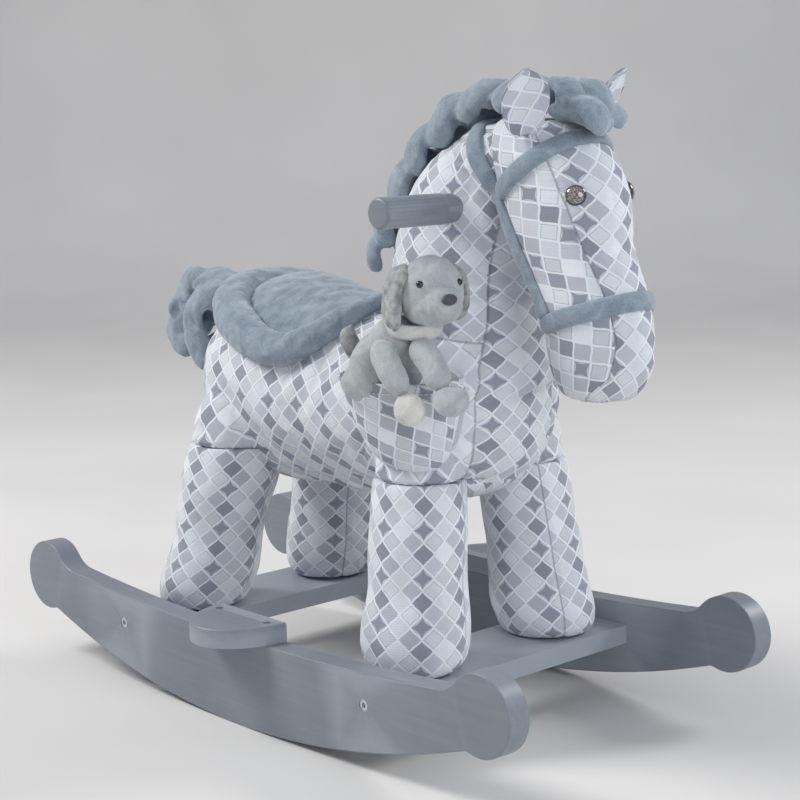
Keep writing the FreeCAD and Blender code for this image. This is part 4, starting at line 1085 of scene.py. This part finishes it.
def band(name, centre, along, spread_degrees, around=skins, lift=1.6):
    """A tape round the head in the plane of Y and along, centred on that direction."""
    centre = np.array(centre, float)
    along = np.array(along, float) / np.linalg.norm(along)
    path, outward = [], []
    for turn in np.radians(np.arange(-spread_degrees, spread_degrees + 0.1, 3.0)):
        way = along * math.cos(turn) + np.array([0, 1, 0]) * math.sin(turn)
        touch = first_touch(centre + way * 220, -way, around)
        if touch:
            path.append(touch[0] + touch[1] * lift)
            outward.append(touch[1])
    rows = smooth_rows(np.hstack([path, outward]), 4.0)
    for _ in range(6):
        rows[1:-1] = (rows[:-2] + rows[1:-1] * 2 + rows[2:]) / 4
    closed = spread_degrees >= 180
    wide = STRAP_HALF_WIDE if closed else rounded(STRAP_HALF_WIDE, len(rows), 2)
    thick = STRAP_HALF_THICK if closed else rounded(STRAP_HALF_THICK, len(rows), 2)
    rings = sweep(rows[:, :3], rows[:, 3:6], wide, thick, 18, closed)
    return mesh_object(name, *closed_loft(rings))


cheek_strap = band("cheek_strap_cover", (237, 0, 466), (-0.507, 0, 0.862), 154)
browband = band("browband_cover", (243, 0, 512), (0.819, 0, 0.573), 122)
noseband = band("noseband_cover", (296, 0, 395), (0.953, 0, 0.302), 124, skins[:1])
straps = {"cheek_strap": cheek_strap, "browband": browband, "noseband": noseband}
print("bridle", sorted(straps))

# %% [markdown]
# Mane, forelock and tail are strips of plush, folded over and sewn down as plump lobes that overlap.
# One lobe is a soft tube along a short curved path; a bunch of them run together keeps its folds.


# %% Plush lobes
def lobe(points, half_wide, half_thick, outward=(0, 0, 1)):
    path = smooth_rows(np.array(points, float), 3.0)
    wide = rounded(half_wide, len(path), 5)
    thick = rounded(half_thick, len(path), 4)
    return closed_loft(sweep(path, np.broadcast_to(np.array(outward, float), path.shape), wide, thick, 18))


# mane: X, Z of the middle of each tuft, tuft radius
MANE = ((52, 443, 16), (70, 476, 19), (92, 511, 21), (122, 540, 22), (156, 562, 21), (192, 575, 19),
        (226, 578, 16))
chance = random.Random(8)
mane_parts = []
crest = np.array(MANE, float)
crest_way = np.gradient(crest[:, :2], axis=0)
crest_way /= np.linalg.norm(crest_way, axis=1, keepdims=True)
for (x, z, r), (way_x, way_z) in zip(MANE, crest_way):
    down = np.array([-way_x, 0, -way_z])
    out = np.array([-way_z, 0, way_x])
    base = np.array([x, 0, z]) + down * -8 - out * 5
    for side in (-1, 1):
        grow = r / 20 * chance.uniform(0.95, 1.25)
        shift = [np.array([chance.uniform(-3, 3) for _ in range(3)]) for _ in range(4)]
        y = np.array([0, side, 0])
        path = [base - out * r * 0.5 + y * 3, base + out * r * 0.5 + y * 9 + shift[0],
                base + out * r * 0.85 + down * r * 0.6 + y * 17 + shift[1],
                base + out * r * 0.15 + down * r * 1.4 + y * 27 + shift[2],
                base - out * r * 0.4 + down * r * 1.6 + y * 24 + shift[3]]
        mane_parts.append(lobe(path, 15.5 * grow, 8 * grow, out + y * 1.1))
mane = merged_skin("mane_cover", mane_parts, 2.8, 2)

FORELOCK = (
    (((252, -6, 566), (262, -10, 584), (278, -16, 590), (288, -20, 578), (283, -22, 564)), 10, 8),
    (((256, 4, 566), (268, 8, 585), (286, 8, 588), (297, 6, 574), (292, 2, 562)), 11, 8),
    (((262, -8, 562), (280, -12, 572), (298, -14, 574), (313, -14, 562), (316, -12, 546)), 13, 7),
    (((264, 8, 562), (282, 16, 570), (298, 22, 566), (306, 24, 552)), 12, 7),
    (((244, -2, 566), (240, -18, 580), (252, -26, 584), (262, -26, 572)), 9, 7),
    (((258, 0, 560), (280, 0, 566), (300, 0, 560), (312, 2, 550)), 14, 8),
)
forelock_parts = [lobe(path, wide * 1.35, thick, (0.3, 0, 1)) for path, wide, thick in FORELOCK]
forelock = merged_skin("forelock_cover", forelock_parts, 2.6, 2)

TAIL = ((((-186, 0, 362), (-204, -2, 384), (-232, -6, 396), (-260, -8, 388)), 14, 9, (0.3, -0.3, 1)),
        (((-236, -12, 388), (-258, -16, 394), (-274, -14, 380), (-268, -14, 366), (-252, -16, 366)), 10, 8,
         (0, -1, 0.4)), (((-250, -8, 368), (-276, -10, 372), (-294, -8, 356), (-286, -8, 344)), 11, 9,
                         (-0.6, 0, 1)), (((-262, -6, 350), (-286, -10, 350), (-297, -10, 334),
                                          (-284, -10, 322), (-272, -12, 332)), 12, 9, (0, -1, 0.2)),
        (((-190, -10, 366), (-214, -26, 380), (-238, -30, 364), (-242, -28, 338), (-234, -22, 316),
          (-220, -14, 304)), 12, 7, (0, -1, 0.5)), (((-190, 10, 366), (-214, 24, 380), (-240, 28, 366),
                                                     (-254, 26, 340), (-248, 20, 318)), 12, 8, (0, 1, 0.5)),
        (((-196, 6, 358), (-226, 10, 372), (-256, 12, 366), (-276, 10, 346), (-268, 8, 330)), 13, 9,
         (0, 1, 0.8)), (((-192, 0, 350), (-214, 0, 338), (-236, 0, 326), (-252, 0, 318)), 12, 9,
                        (0, 0.2, 1)),)
tail_parts = [lobe(path, wide * 1.4, thick, out) for path, wide, thick, out in TAIL]
tail = merged_skin("tail_cover", tail_parts, 2.8, 2)
print("lobes", len(mane_parts), len(FORELOCK), len(TAIL))

# %% [markdown]
# Each ear is two leaves sewn round the edge: printed cotton behind, a paler leaf in the hollow in
# front. A ring of points goes over the round back and returns through the hollow.

# %% Ears
def face_outwards(piece):
    """Turns the faces of a closed piece round where they point inwards."""
    solid = bmesh.new()
    solid.from_mesh(piece.data)
    inwards = solid.calc_volume(signed=True) < 0
    solid.free()
    if inwards:
        piece.data.flip_normals()


EAR_BASE = np.array((259, 44, 556.0))
EAR_TIP = np.array((279, 63, 603.0))
EAR_ACROSS = np.array((0.38, -0.92, 0))
EAR_WIDTHS = ((-0.16, 9), (-0.02, 15), (0.15, 19), (0.4, 21.5), (0.62, 20.5), (0.8, 15.5), (0.93, 8.5),
              (1.0, 2.5))
EAR_DEPTH = 8.0
EAR_AROUND = 32


def ear_piece(name, side):
    mirror = np.array((1, side, 1))
    base, tip, across = EAR_BASE * mirror, EAR_TIP * mirror, EAR_ACROSS * mirror
    along = (tip - base) / np.linalg.norm(tip - base)
    across = across - along * across.dot(along)
    across /= np.linalg.norm(across)
    back = np.cross(along, across)
    back = back if back[0] < 0 else -back
    rings, uvs = [], []
    for share, wide in smooth_rows(np.array(EAR_WIDTHS) * (50, 1), 2.0) / (50, 1):
        ring = []
        depth = EAR_DEPTH * (0.25 + 0.75 * wide / 19.5)
        for turn in np.linspace(0, 2 * math.pi, EAR_AROUND, endpoint=False):
            over = math.sin(turn)
            height = depth * over if over > 0 else depth * 0.42 * -over - 1.6 * (over < -0.05)
            ring.append(base + along * np.linalg.norm(tip - base) * share + across * wide * math.cos(turn)
                        + back * height)
        rings.append(ring)
    points, faces = closed_loft(rings)
    ear = mesh_object(name, points, faces, grid_map(rings, 16.0))
    ear.data.materials.append(brow_cotton)
    ear.data.materials.append(patch_cotton)
    for face in ear.data.polygons[:(len(rings) - 1) * EAR_AROUND]:
        face.material_index = int(face.index % EAR_AROUND >= EAR_AROUND // 2)
    face_outwards(ear)
    return ear


ears = {"ear_left": ear_piece("ear_cover_left", 1), "ear_right": ear_piece("ear_cover_right", -1)}
print("ears", sorted(ears))

# %% [markdown]
# The pocket is one U-shaped patch, sewn down round its edge and hemmed at the top. The toy inside
# pushes it out into a bowl. Its flat sewn edge is a narrow strip on the body, which two rows of
# stitches hold.

# %% Pocket
# Z, centre X, centre Y, half length, half depth
POCKET = ((257, 160, -88, 26, 18), (268, 160, -90, 39, 27), (285, 158, -92, 49, 33), (310, 156, -93, 56, 42),
          (330, 154, -94, 59, 49), (337, 154, -94, 60, 51))
POCKET_EDGE = ((82, -93, 338), (90, -98, 315), (99, -99, 294), (113, -98, 276), (137, -104, 267),
               (161, -99, 263), (178, -84, 268), (189, -68, 277), (197, -65, 301), (202, -62, 330))
POCKET_WALL = 2.6
POCKET_AROUND = 84


def pocket_rings():
    rows = smooth_rows(np.array(POCKET, float), 4.0)
    outer = [ellipse((x, y, z), (1, 0, 0), a, (0, 1, 0), b, POCKET_AROUND) for z, x, y, a, b in rows]
    z, x, y, a, b = rows[-1]
    hem = [ellipse((x, y, z + 1.8 + 1.6 * math.sin(turn)), (1, 0, 0), a + 1.2 * math.cos(turn), (0, 1, 0),
                   b + 1.2 * math.cos(turn), POCKET_AROUND) for turn in (0.2, 0.9, 1.6, 2.4)]
    inner = [ellipse((x, y, z + POCKET_WALL), (1, 0, 0), a - POCKET_WALL, (0, 1, 0), b - POCKET_WALL,
                     POCKET_AROUND) for z, x, y, a, b in rows[::-1]]
    return outer + hem + inner[1:]


pocket_skin = pocket_rings()
POCKET_TURN_R = [np.linalg.norm(np.diff(ring, axis=0), axis=1).sum() / (2 * math.pi) for ring in pocket_skin]
pocket = mesh_object("pocket_cover", *closed_loft(pocket_skin),
                     grid_map(pocket_skin, POCKET_TURN_R, 250.0, POCKET_AROUND * 3 // 4))
pocket.data.materials.append(patch_cotton)


def on_body(points, lift):
    """Points laid on the body's fabric, with the fabric's outward directions."""
    laid, outward = [], []
    for point in points:
        place, normal, _, _ = skins[1].find_nearest(Vector(point) * MM)
        laid.append(np.array(place) / MM + np.array(normal) * lift)
        outward.append(np.array(normal))
    return np.array(laid), np.array(outward)


edge_path = smooth_rows(np.array(POCKET_EDGE, float), 3.0)
edge_path, edge_out = on_body(edge_path, 0.6)
pocket_edge = mesh_object("pocket_edge",
                          *closed_loft(sweep(edge_path, edge_out, rounded(2.2, len(edge_path), 2), 1.0,
                                             14)))
print("pocket edge", round(float(np.linalg.norm(np.diff(edge_path, axis=0), axis=1).sum())), "mm")

# %% [markdown]
# The puppy is a soft toy of plush: a round head with a muzzle, long curly ears, arms that hang over
# the pocket's edge. Each part is a few soft ellipsoids run together and filled.

# %% Puppy
FACING = np.array((0.94, -0.342, 0.0))
SIDE = np.array((0.342, 0.94, 0.0))
UP = np.array((0, 0, 1.0))
HEAD_MIDDLE = np.array((203, -104, 418.0))


def blob(centre, half, axis_a=SIDE, axis_b=FACING):
    """A soft ellipsoid; half sizes lie along axis_a, axis_b and their upright."""
    axis_a = np.array(axis_a, float) / np.linalg.norm(axis_a)
    axis_b = np.array(axis_b, float) / np.linalg.norm(axis_b)
    axis_c = np.cross(axis_a, axis_b)
    rings = []
    for turn in np.radians(np.linspace(-84, 84, 15)):
        rings.append(ellipse(np.array(centre) + axis_c * half[2] * math.sin(turn), axis_a,
                             half[0] * math.cos(turn), axis_b, half[1] * math.cos(turn), 28))
    return closed_loft(rings)


def face_point(side, facing, up):
    return HEAD_MIDDLE + SIDE * side + FACING * facing + UP * up


PUPPY = {"puppy_head": (dog_plush, 2.2, [blob(HEAD_MIDDLE, (29, 28, 31)),
                                         blob(face_point(0, 21, -8), (17, 20, 15)),
                                         blob(face_point(0, 8, 10), (20, 19, 18)),
                                         blob(face_point(-11, 8, -13), (14, 16, 14)),
                                         blob(face_point(11, 8, -13), (14, 16, 14))]),
         "puppy_body": (dog_plush, 3.0, [blob((164, -120, 352), (35, 20, 33)),
                                         blob((178, -118, 378), (27, 17, 20)),
                                         blob((150, -124, 338), (30, 18, 20))]),
         "puppy_tail": (ear_plush, 2.4, [lobe(((122, -104, 350), (113, -114, 362), (110, -117, 374),
                                               (114, -116, 384)), 9.5, 8, (0, -1, 0))]),}
ARMS = (((171, -130, 372), (186, -143, 366), (203, -148, 350), (214, -146, 334)),
        ((196, -116, 374), (216, -122, 366), (233, -126, 352), (243, -127, 338)))
PAWS = (((219, -145, 323), (13.5, 13.5, 14.5)), ((250, -126, 331), (15, 18, 13)))
GREY_PAW_X = 234.0
puppy = {}
for node, (material, voxel, parts) in PUPPY.items():
    puppy[node] = merged_skin(node + "_cover", parts, voxel, 4)
    puppy[node].data.materials.append(material)
arm_parts = [lobe(arm, 12, 11, (0.2, -0.4, 1)) for arm in ARMS]
puppy["puppy_arms"] = merged_skin("puppy_arms_cover", arm_parts, 2.4, 4)
puppy["puppy_arms"].data.materials.append(dog_plush)
paw_parts = [blob(centre, half) for centre, half in PAWS]
puppy["puppy_paws"] = merged_skin("puppy_paws_cover", paw_parts, 2.4, 2)
puppy["puppy_paws"].data.materials.append(cream_plush)
puppy["puppy_paws"].data.materials.append(dog_plush)
for face in puppy["puppy_paws"].data.polygons:
    face.material_index = int(face.center.x > GREY_PAW_X * MM)
near_ear = [lobe((face_point(-20, -4, 25), face_point(-30, -6, 9), face_point(-33, -7, -14),
                  face_point(-31, -8, -36)), 17, 5.5, -SIDE)]
far_ear = [lobe((face_point(20, -2, 24), face_point(29, -3, 8), face_point(30, -4, -12),
                 face_point(27, -4, -28)), 13, 5.5, SIDE)]
for node, parts in (("puppy_ear_right", near_ear), ("puppy_ear_left", far_ear)):
    puppy[node] = merged_skin(node + "_cover", parts, 2.2, 2)
    puppy[node].data.materials.append(ear_plush)
turns = np.linspace(0, 2 * math.pi, 40)
collar_path = [np.array((186, -110, 385.0)) + SIDE * 24 * math.cos(t) + FACING * 21 * math.sin(t)
               + UP * (3 - 4 * math.sin(t)) for t in turns]
collar_out = [SIDE * math.cos(t) + FACING * math.sin(t) for t in turns]
puppy["puppy_collar"] = mesh_object("puppy_collar_cover",
                                    *closed_loft(sweep(collar_path, collar_out, 6.5, 3.2, 14, True)))
puppy["puppy_collar"].data.materials.append(cream_plush)
nose = mesh_object("puppy_nose_cover", *blob(face_point(0, 40.5, -3), (7, 4, 5)))
nose.data.materials.append(nose_thread)
puppy["puppy_nose"] = nose
eye_points, eye_faces = [], []
for side in (-18, 18):
    part_points, part_faces = blob(face_point(side, 20, 9), (3.2, 3.2, 3.2))
    eye_faces += [tuple(len(eye_points) + index for index in face) for face in part_faces]
    eye_points += part_points
puppy["puppy_eyes"] = mesh_object("puppy_eyes_cover", eye_points, eye_faces)
puppy["puppy_eyes"].data.materials.append(bead)
print("puppy pieces", sorted(puppy))

# %% [markdown]
# The second filling: saddle, mane and puppy swell a little, so their folds press together.

# %% Fill the plush pieces
TACK_EVERY = 29               # one point in this many is held by a hidden tack
PLUSH_PRESSURE = 3.0
PLUSH_SPARE = 0.02
PLUSH_FRAMES = 10
PLUSH_WAVE_MM = 0.35
PLUSH_WAVE_SIZE_MM = 16
PLUSH_FIRST_SEED = 40
plush_pieces = [(saddle_roll, 3.0), (saddle_seat, 3.0), (mane, 2.0), (forelock, 1.8), (tail, 2.0),
                (puppy["puppy_head"], 1.5), (puppy["puppy_body"], 2.5), (puppy["puppy_arms"], 1.2),
                (puppy["puppy_paws"], 1.2), (puppy["puppy_ear_right"], 1.2), (puppy["puppy_ear_left"], 1.2)]
fill([(piece, np.arange(len(piece.data.vertices)) % TACK_EVERY == 0, cap) for piece,
      cap in plush_pieces], PLUSH_PRESSURE, PLUSH_SPARE, PLUSH_FRAMES)
for number, (piece, _) in enumerate(plush_pieces):
    subdivide(piece)
    soft_waves(piece, PLUSH_WAVE_MM, PLUSH_WAVE_SIZE_MM, PLUSH_FIRST_SEED + number)
for piece in (saddle_roll, saddle_seat, mane, forelock, tail, *straps.values()):
    piece.data.materials.clear()
    piece.data.materials.append(blue_plush)

# %% [markdown]
# Horse eyes: a clear dome on a stem, its rim painted dark. The distance from the middle is kept on the
# mesh, so the rim stays a true ring.

# %% Horse eyes
EYE_R = 9.0
EYE_DOME = 5.5
eyes = {}
for node, side in (("eye_left", 1), ("eye_right", -1)):
    out = np.array((0.62, 0.76 * side, 0.18))
    out /= np.linalg.norm(out)
    touch = first_touch(np.array((305, 32 * side, 499.0)) + out * 80, -out)
    seat = touch[0] - touch[1] * 0.8
    across = np.cross(out, UP)
    across /= np.linalg.norm(across)
    over = np.cross(across, out)
    rings = [ellipse(seat - out * 3, across, EYE_R, over, EYE_R, 40)]
    for turn in np.radians(np.linspace(0, 84, 10)):
        rings.append(ellipse(seat + out * EYE_DOME * math.sin(turn), across, EYE_R * math.cos(turn), over,
                             EYE_R * math.cos(turn), 40))
    eye = mesh_object(node + "_dome", *closed_loft(rings))
    from_axis = points_of(eye) - seat
    from_axis -= np.outer(from_axis @ out, out)
    attribute = eye.data.attributes.new("rim", "FLOAT", "POINT")
    attribute.data.foreach_set("value", np.linalg.norm(from_axis, axis=1) / EYE_R)
    eye.data.materials.append(eye_film)
    face_outwards(eye)
    eyes[node] = eye
print("eyes", sorted(eyes))

# %% [markdown]
# Stitches are what repeats most, so Geometry Nodes make them: the seam line becomes a curve, the curve
# is cut into stitch lengths, and one small thread loop stands at each cut, turned along the line.


# %% Stitch tree
def stitch_tree(material):
    tree = bpy.data.node_groups.new("stitch_run", "GeometryNodeTree")
    for name, kind, value in (("Geometry", "NodeSocketGeometry", None), ("Pitch", "NodeSocketFloat", 0.005),
                              ("Length", "NodeSocketFloat", 0.0034), ("Thread", "NodeSocketFloat", 0.0008)):
        socket = tree.interface.new_socket(name, in_out="INPUT", socket_type=kind)
        if value is not None:
            socket.default_value = value
    tree.interface.new_socket("Geometry", in_out="OUTPUT", socket_type="NodeSocketGeometry")
    given = tree.nodes.new("NodeGroupInput")
    line = add(tree, "GeometryNodeMeshToCurve", {}, {"Mesh": given.outputs["Geometry"]})
    cuts = add(tree, "GeometryNodeResampleCurve", {"mode": "LENGTH"},
               {"Curve": line, "Length": given.outputs["Pitch"]})
    loop = add(tree, "GeometryNodeMeshUVSphere", {}, {"Segments": 8, "Rings": 6, "Radius": 0.5})
    size = add(tree, "ShaderNodeCombineXYZ", {}, {"X": given.outputs["Length"], "Y": given.outputs["Thread"],
                                                  "Z": given.outputs["Thread"]})
    loop = add(tree, "GeometryNodeTransform", {}, {"Geometry": loop, "Scale": size})
    tangent = add(tree, "GeometryNodeInputTangent")
    turned = add(tree, "FunctionNodeAlignRotationToVector", {"axis": "X"}, {"Vector": tangent})
    placed = add(tree, "GeometryNodeInstanceOnPoints", {},
                 {"Points": cuts, "Instance": loop, "Rotation": turned})
    real = add(tree, "GeometryNodeRealizeInstances", {}, {"Geometry": placed})
    smooth = add(tree, "GeometryNodeSetShadeSmooth", {}, {"Geometry": real})
    dressed = add(tree, "GeometryNodeSetMaterial", {}, {"Geometry": smooth, "Material": material})
    result = tree.nodes.new("NodeGroupOutput")
    tree.links.new(dressed, result.inputs["Geometry"])
    return tree


STITCH_PITCH = 4.6            # millimetres from one stitch to the next
STITCH_ROWS = (-3.2, 2.2)     # places of the two rows across the pocket's edge
HEM_DEPTH = 6.0               # stitches below the hem's top
HEM_AROUND = 120
stitches = stitch_tree(white_thread)


def stitch_run(name, lines, pitch_mm):
    """One mesh of stitches along several lines of points in millimetres."""
    points, edges = [], []
    for line in lines:
        start = len(points)
        points.extend(line)
        edges.extend((start + i, start + i + 1) for i in range(len(line) - 1))
    source = mesh_object(name + "_line", points, [])
    source.data.clear_geometry()
    source.data.from_pydata([tuple(np.array(p) * MM) for p in points], edges, [])
    modifier = source.modifiers.new("stitches", "NODES")
    modifier.node_group = stitches
    pitch = next(item for item in stitches.interface.items_tree if item.name == "Pitch")
    modifier[pitch.identifier] = pitch_mm * MM
    made = plain_mesh(source, name)
    bpy.data.objects.remove(source)
    print(name, len(made.data.polygons), "faces")
    return made


edge_side = np.cross(edge_out, np.gradient(edge_path, axis=0))
edge_side /= np.linalg.norm(edge_side, axis=1, keepdims=True)
rows = [edge_path + edge_out * 1.5 + edge_side * offset for offset in STITCH_ROWS]
pocket_stitches = stitch_run("pocket_stitches", rows, STITCH_PITCH)
hem_z, hem_x, hem_y, hem_a, hem_b = POCKET[-1]
hem_line = ellipse((hem_x, hem_y, hem_z - HEM_DEPTH), (1, 0, 0), hem_a - 0.2, (0, 1, 0), hem_b - 0.6,
                   HEM_AROUND)
outer_half = slice(HEM_AROUND // 2 + 2, HEM_AROUND - 2)
hem_stitches = stitch_run("hem_stitches", [hem_line[outer_half]], STITCH_PITCH)
pocket_edge.data.materials.append(thread("folded_cotton_edge", "#C9CED8", "#B4BAC5"))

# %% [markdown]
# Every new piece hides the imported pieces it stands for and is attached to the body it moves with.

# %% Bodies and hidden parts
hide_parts("saddle_roll")
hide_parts("saddle_seat")
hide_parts("mane")
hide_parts("forelock")
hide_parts("tail")
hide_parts("pocket")
for group in (straps, ears, puppy, eyes):
    for node, piece in group.items():
        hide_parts(node)
for piece in (saddle_roll, saddle_seat, mane, forelock, *straps.values(), pocket, pocket_edge,
              pocket_stitches, hem_stitches, *eyes.values()):
    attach(piece, "horse")
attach(tail, "tail")
for node, piece in ears.items():
    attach(piece, node)
for piece in puppy.values():
    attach(piece, "toy")
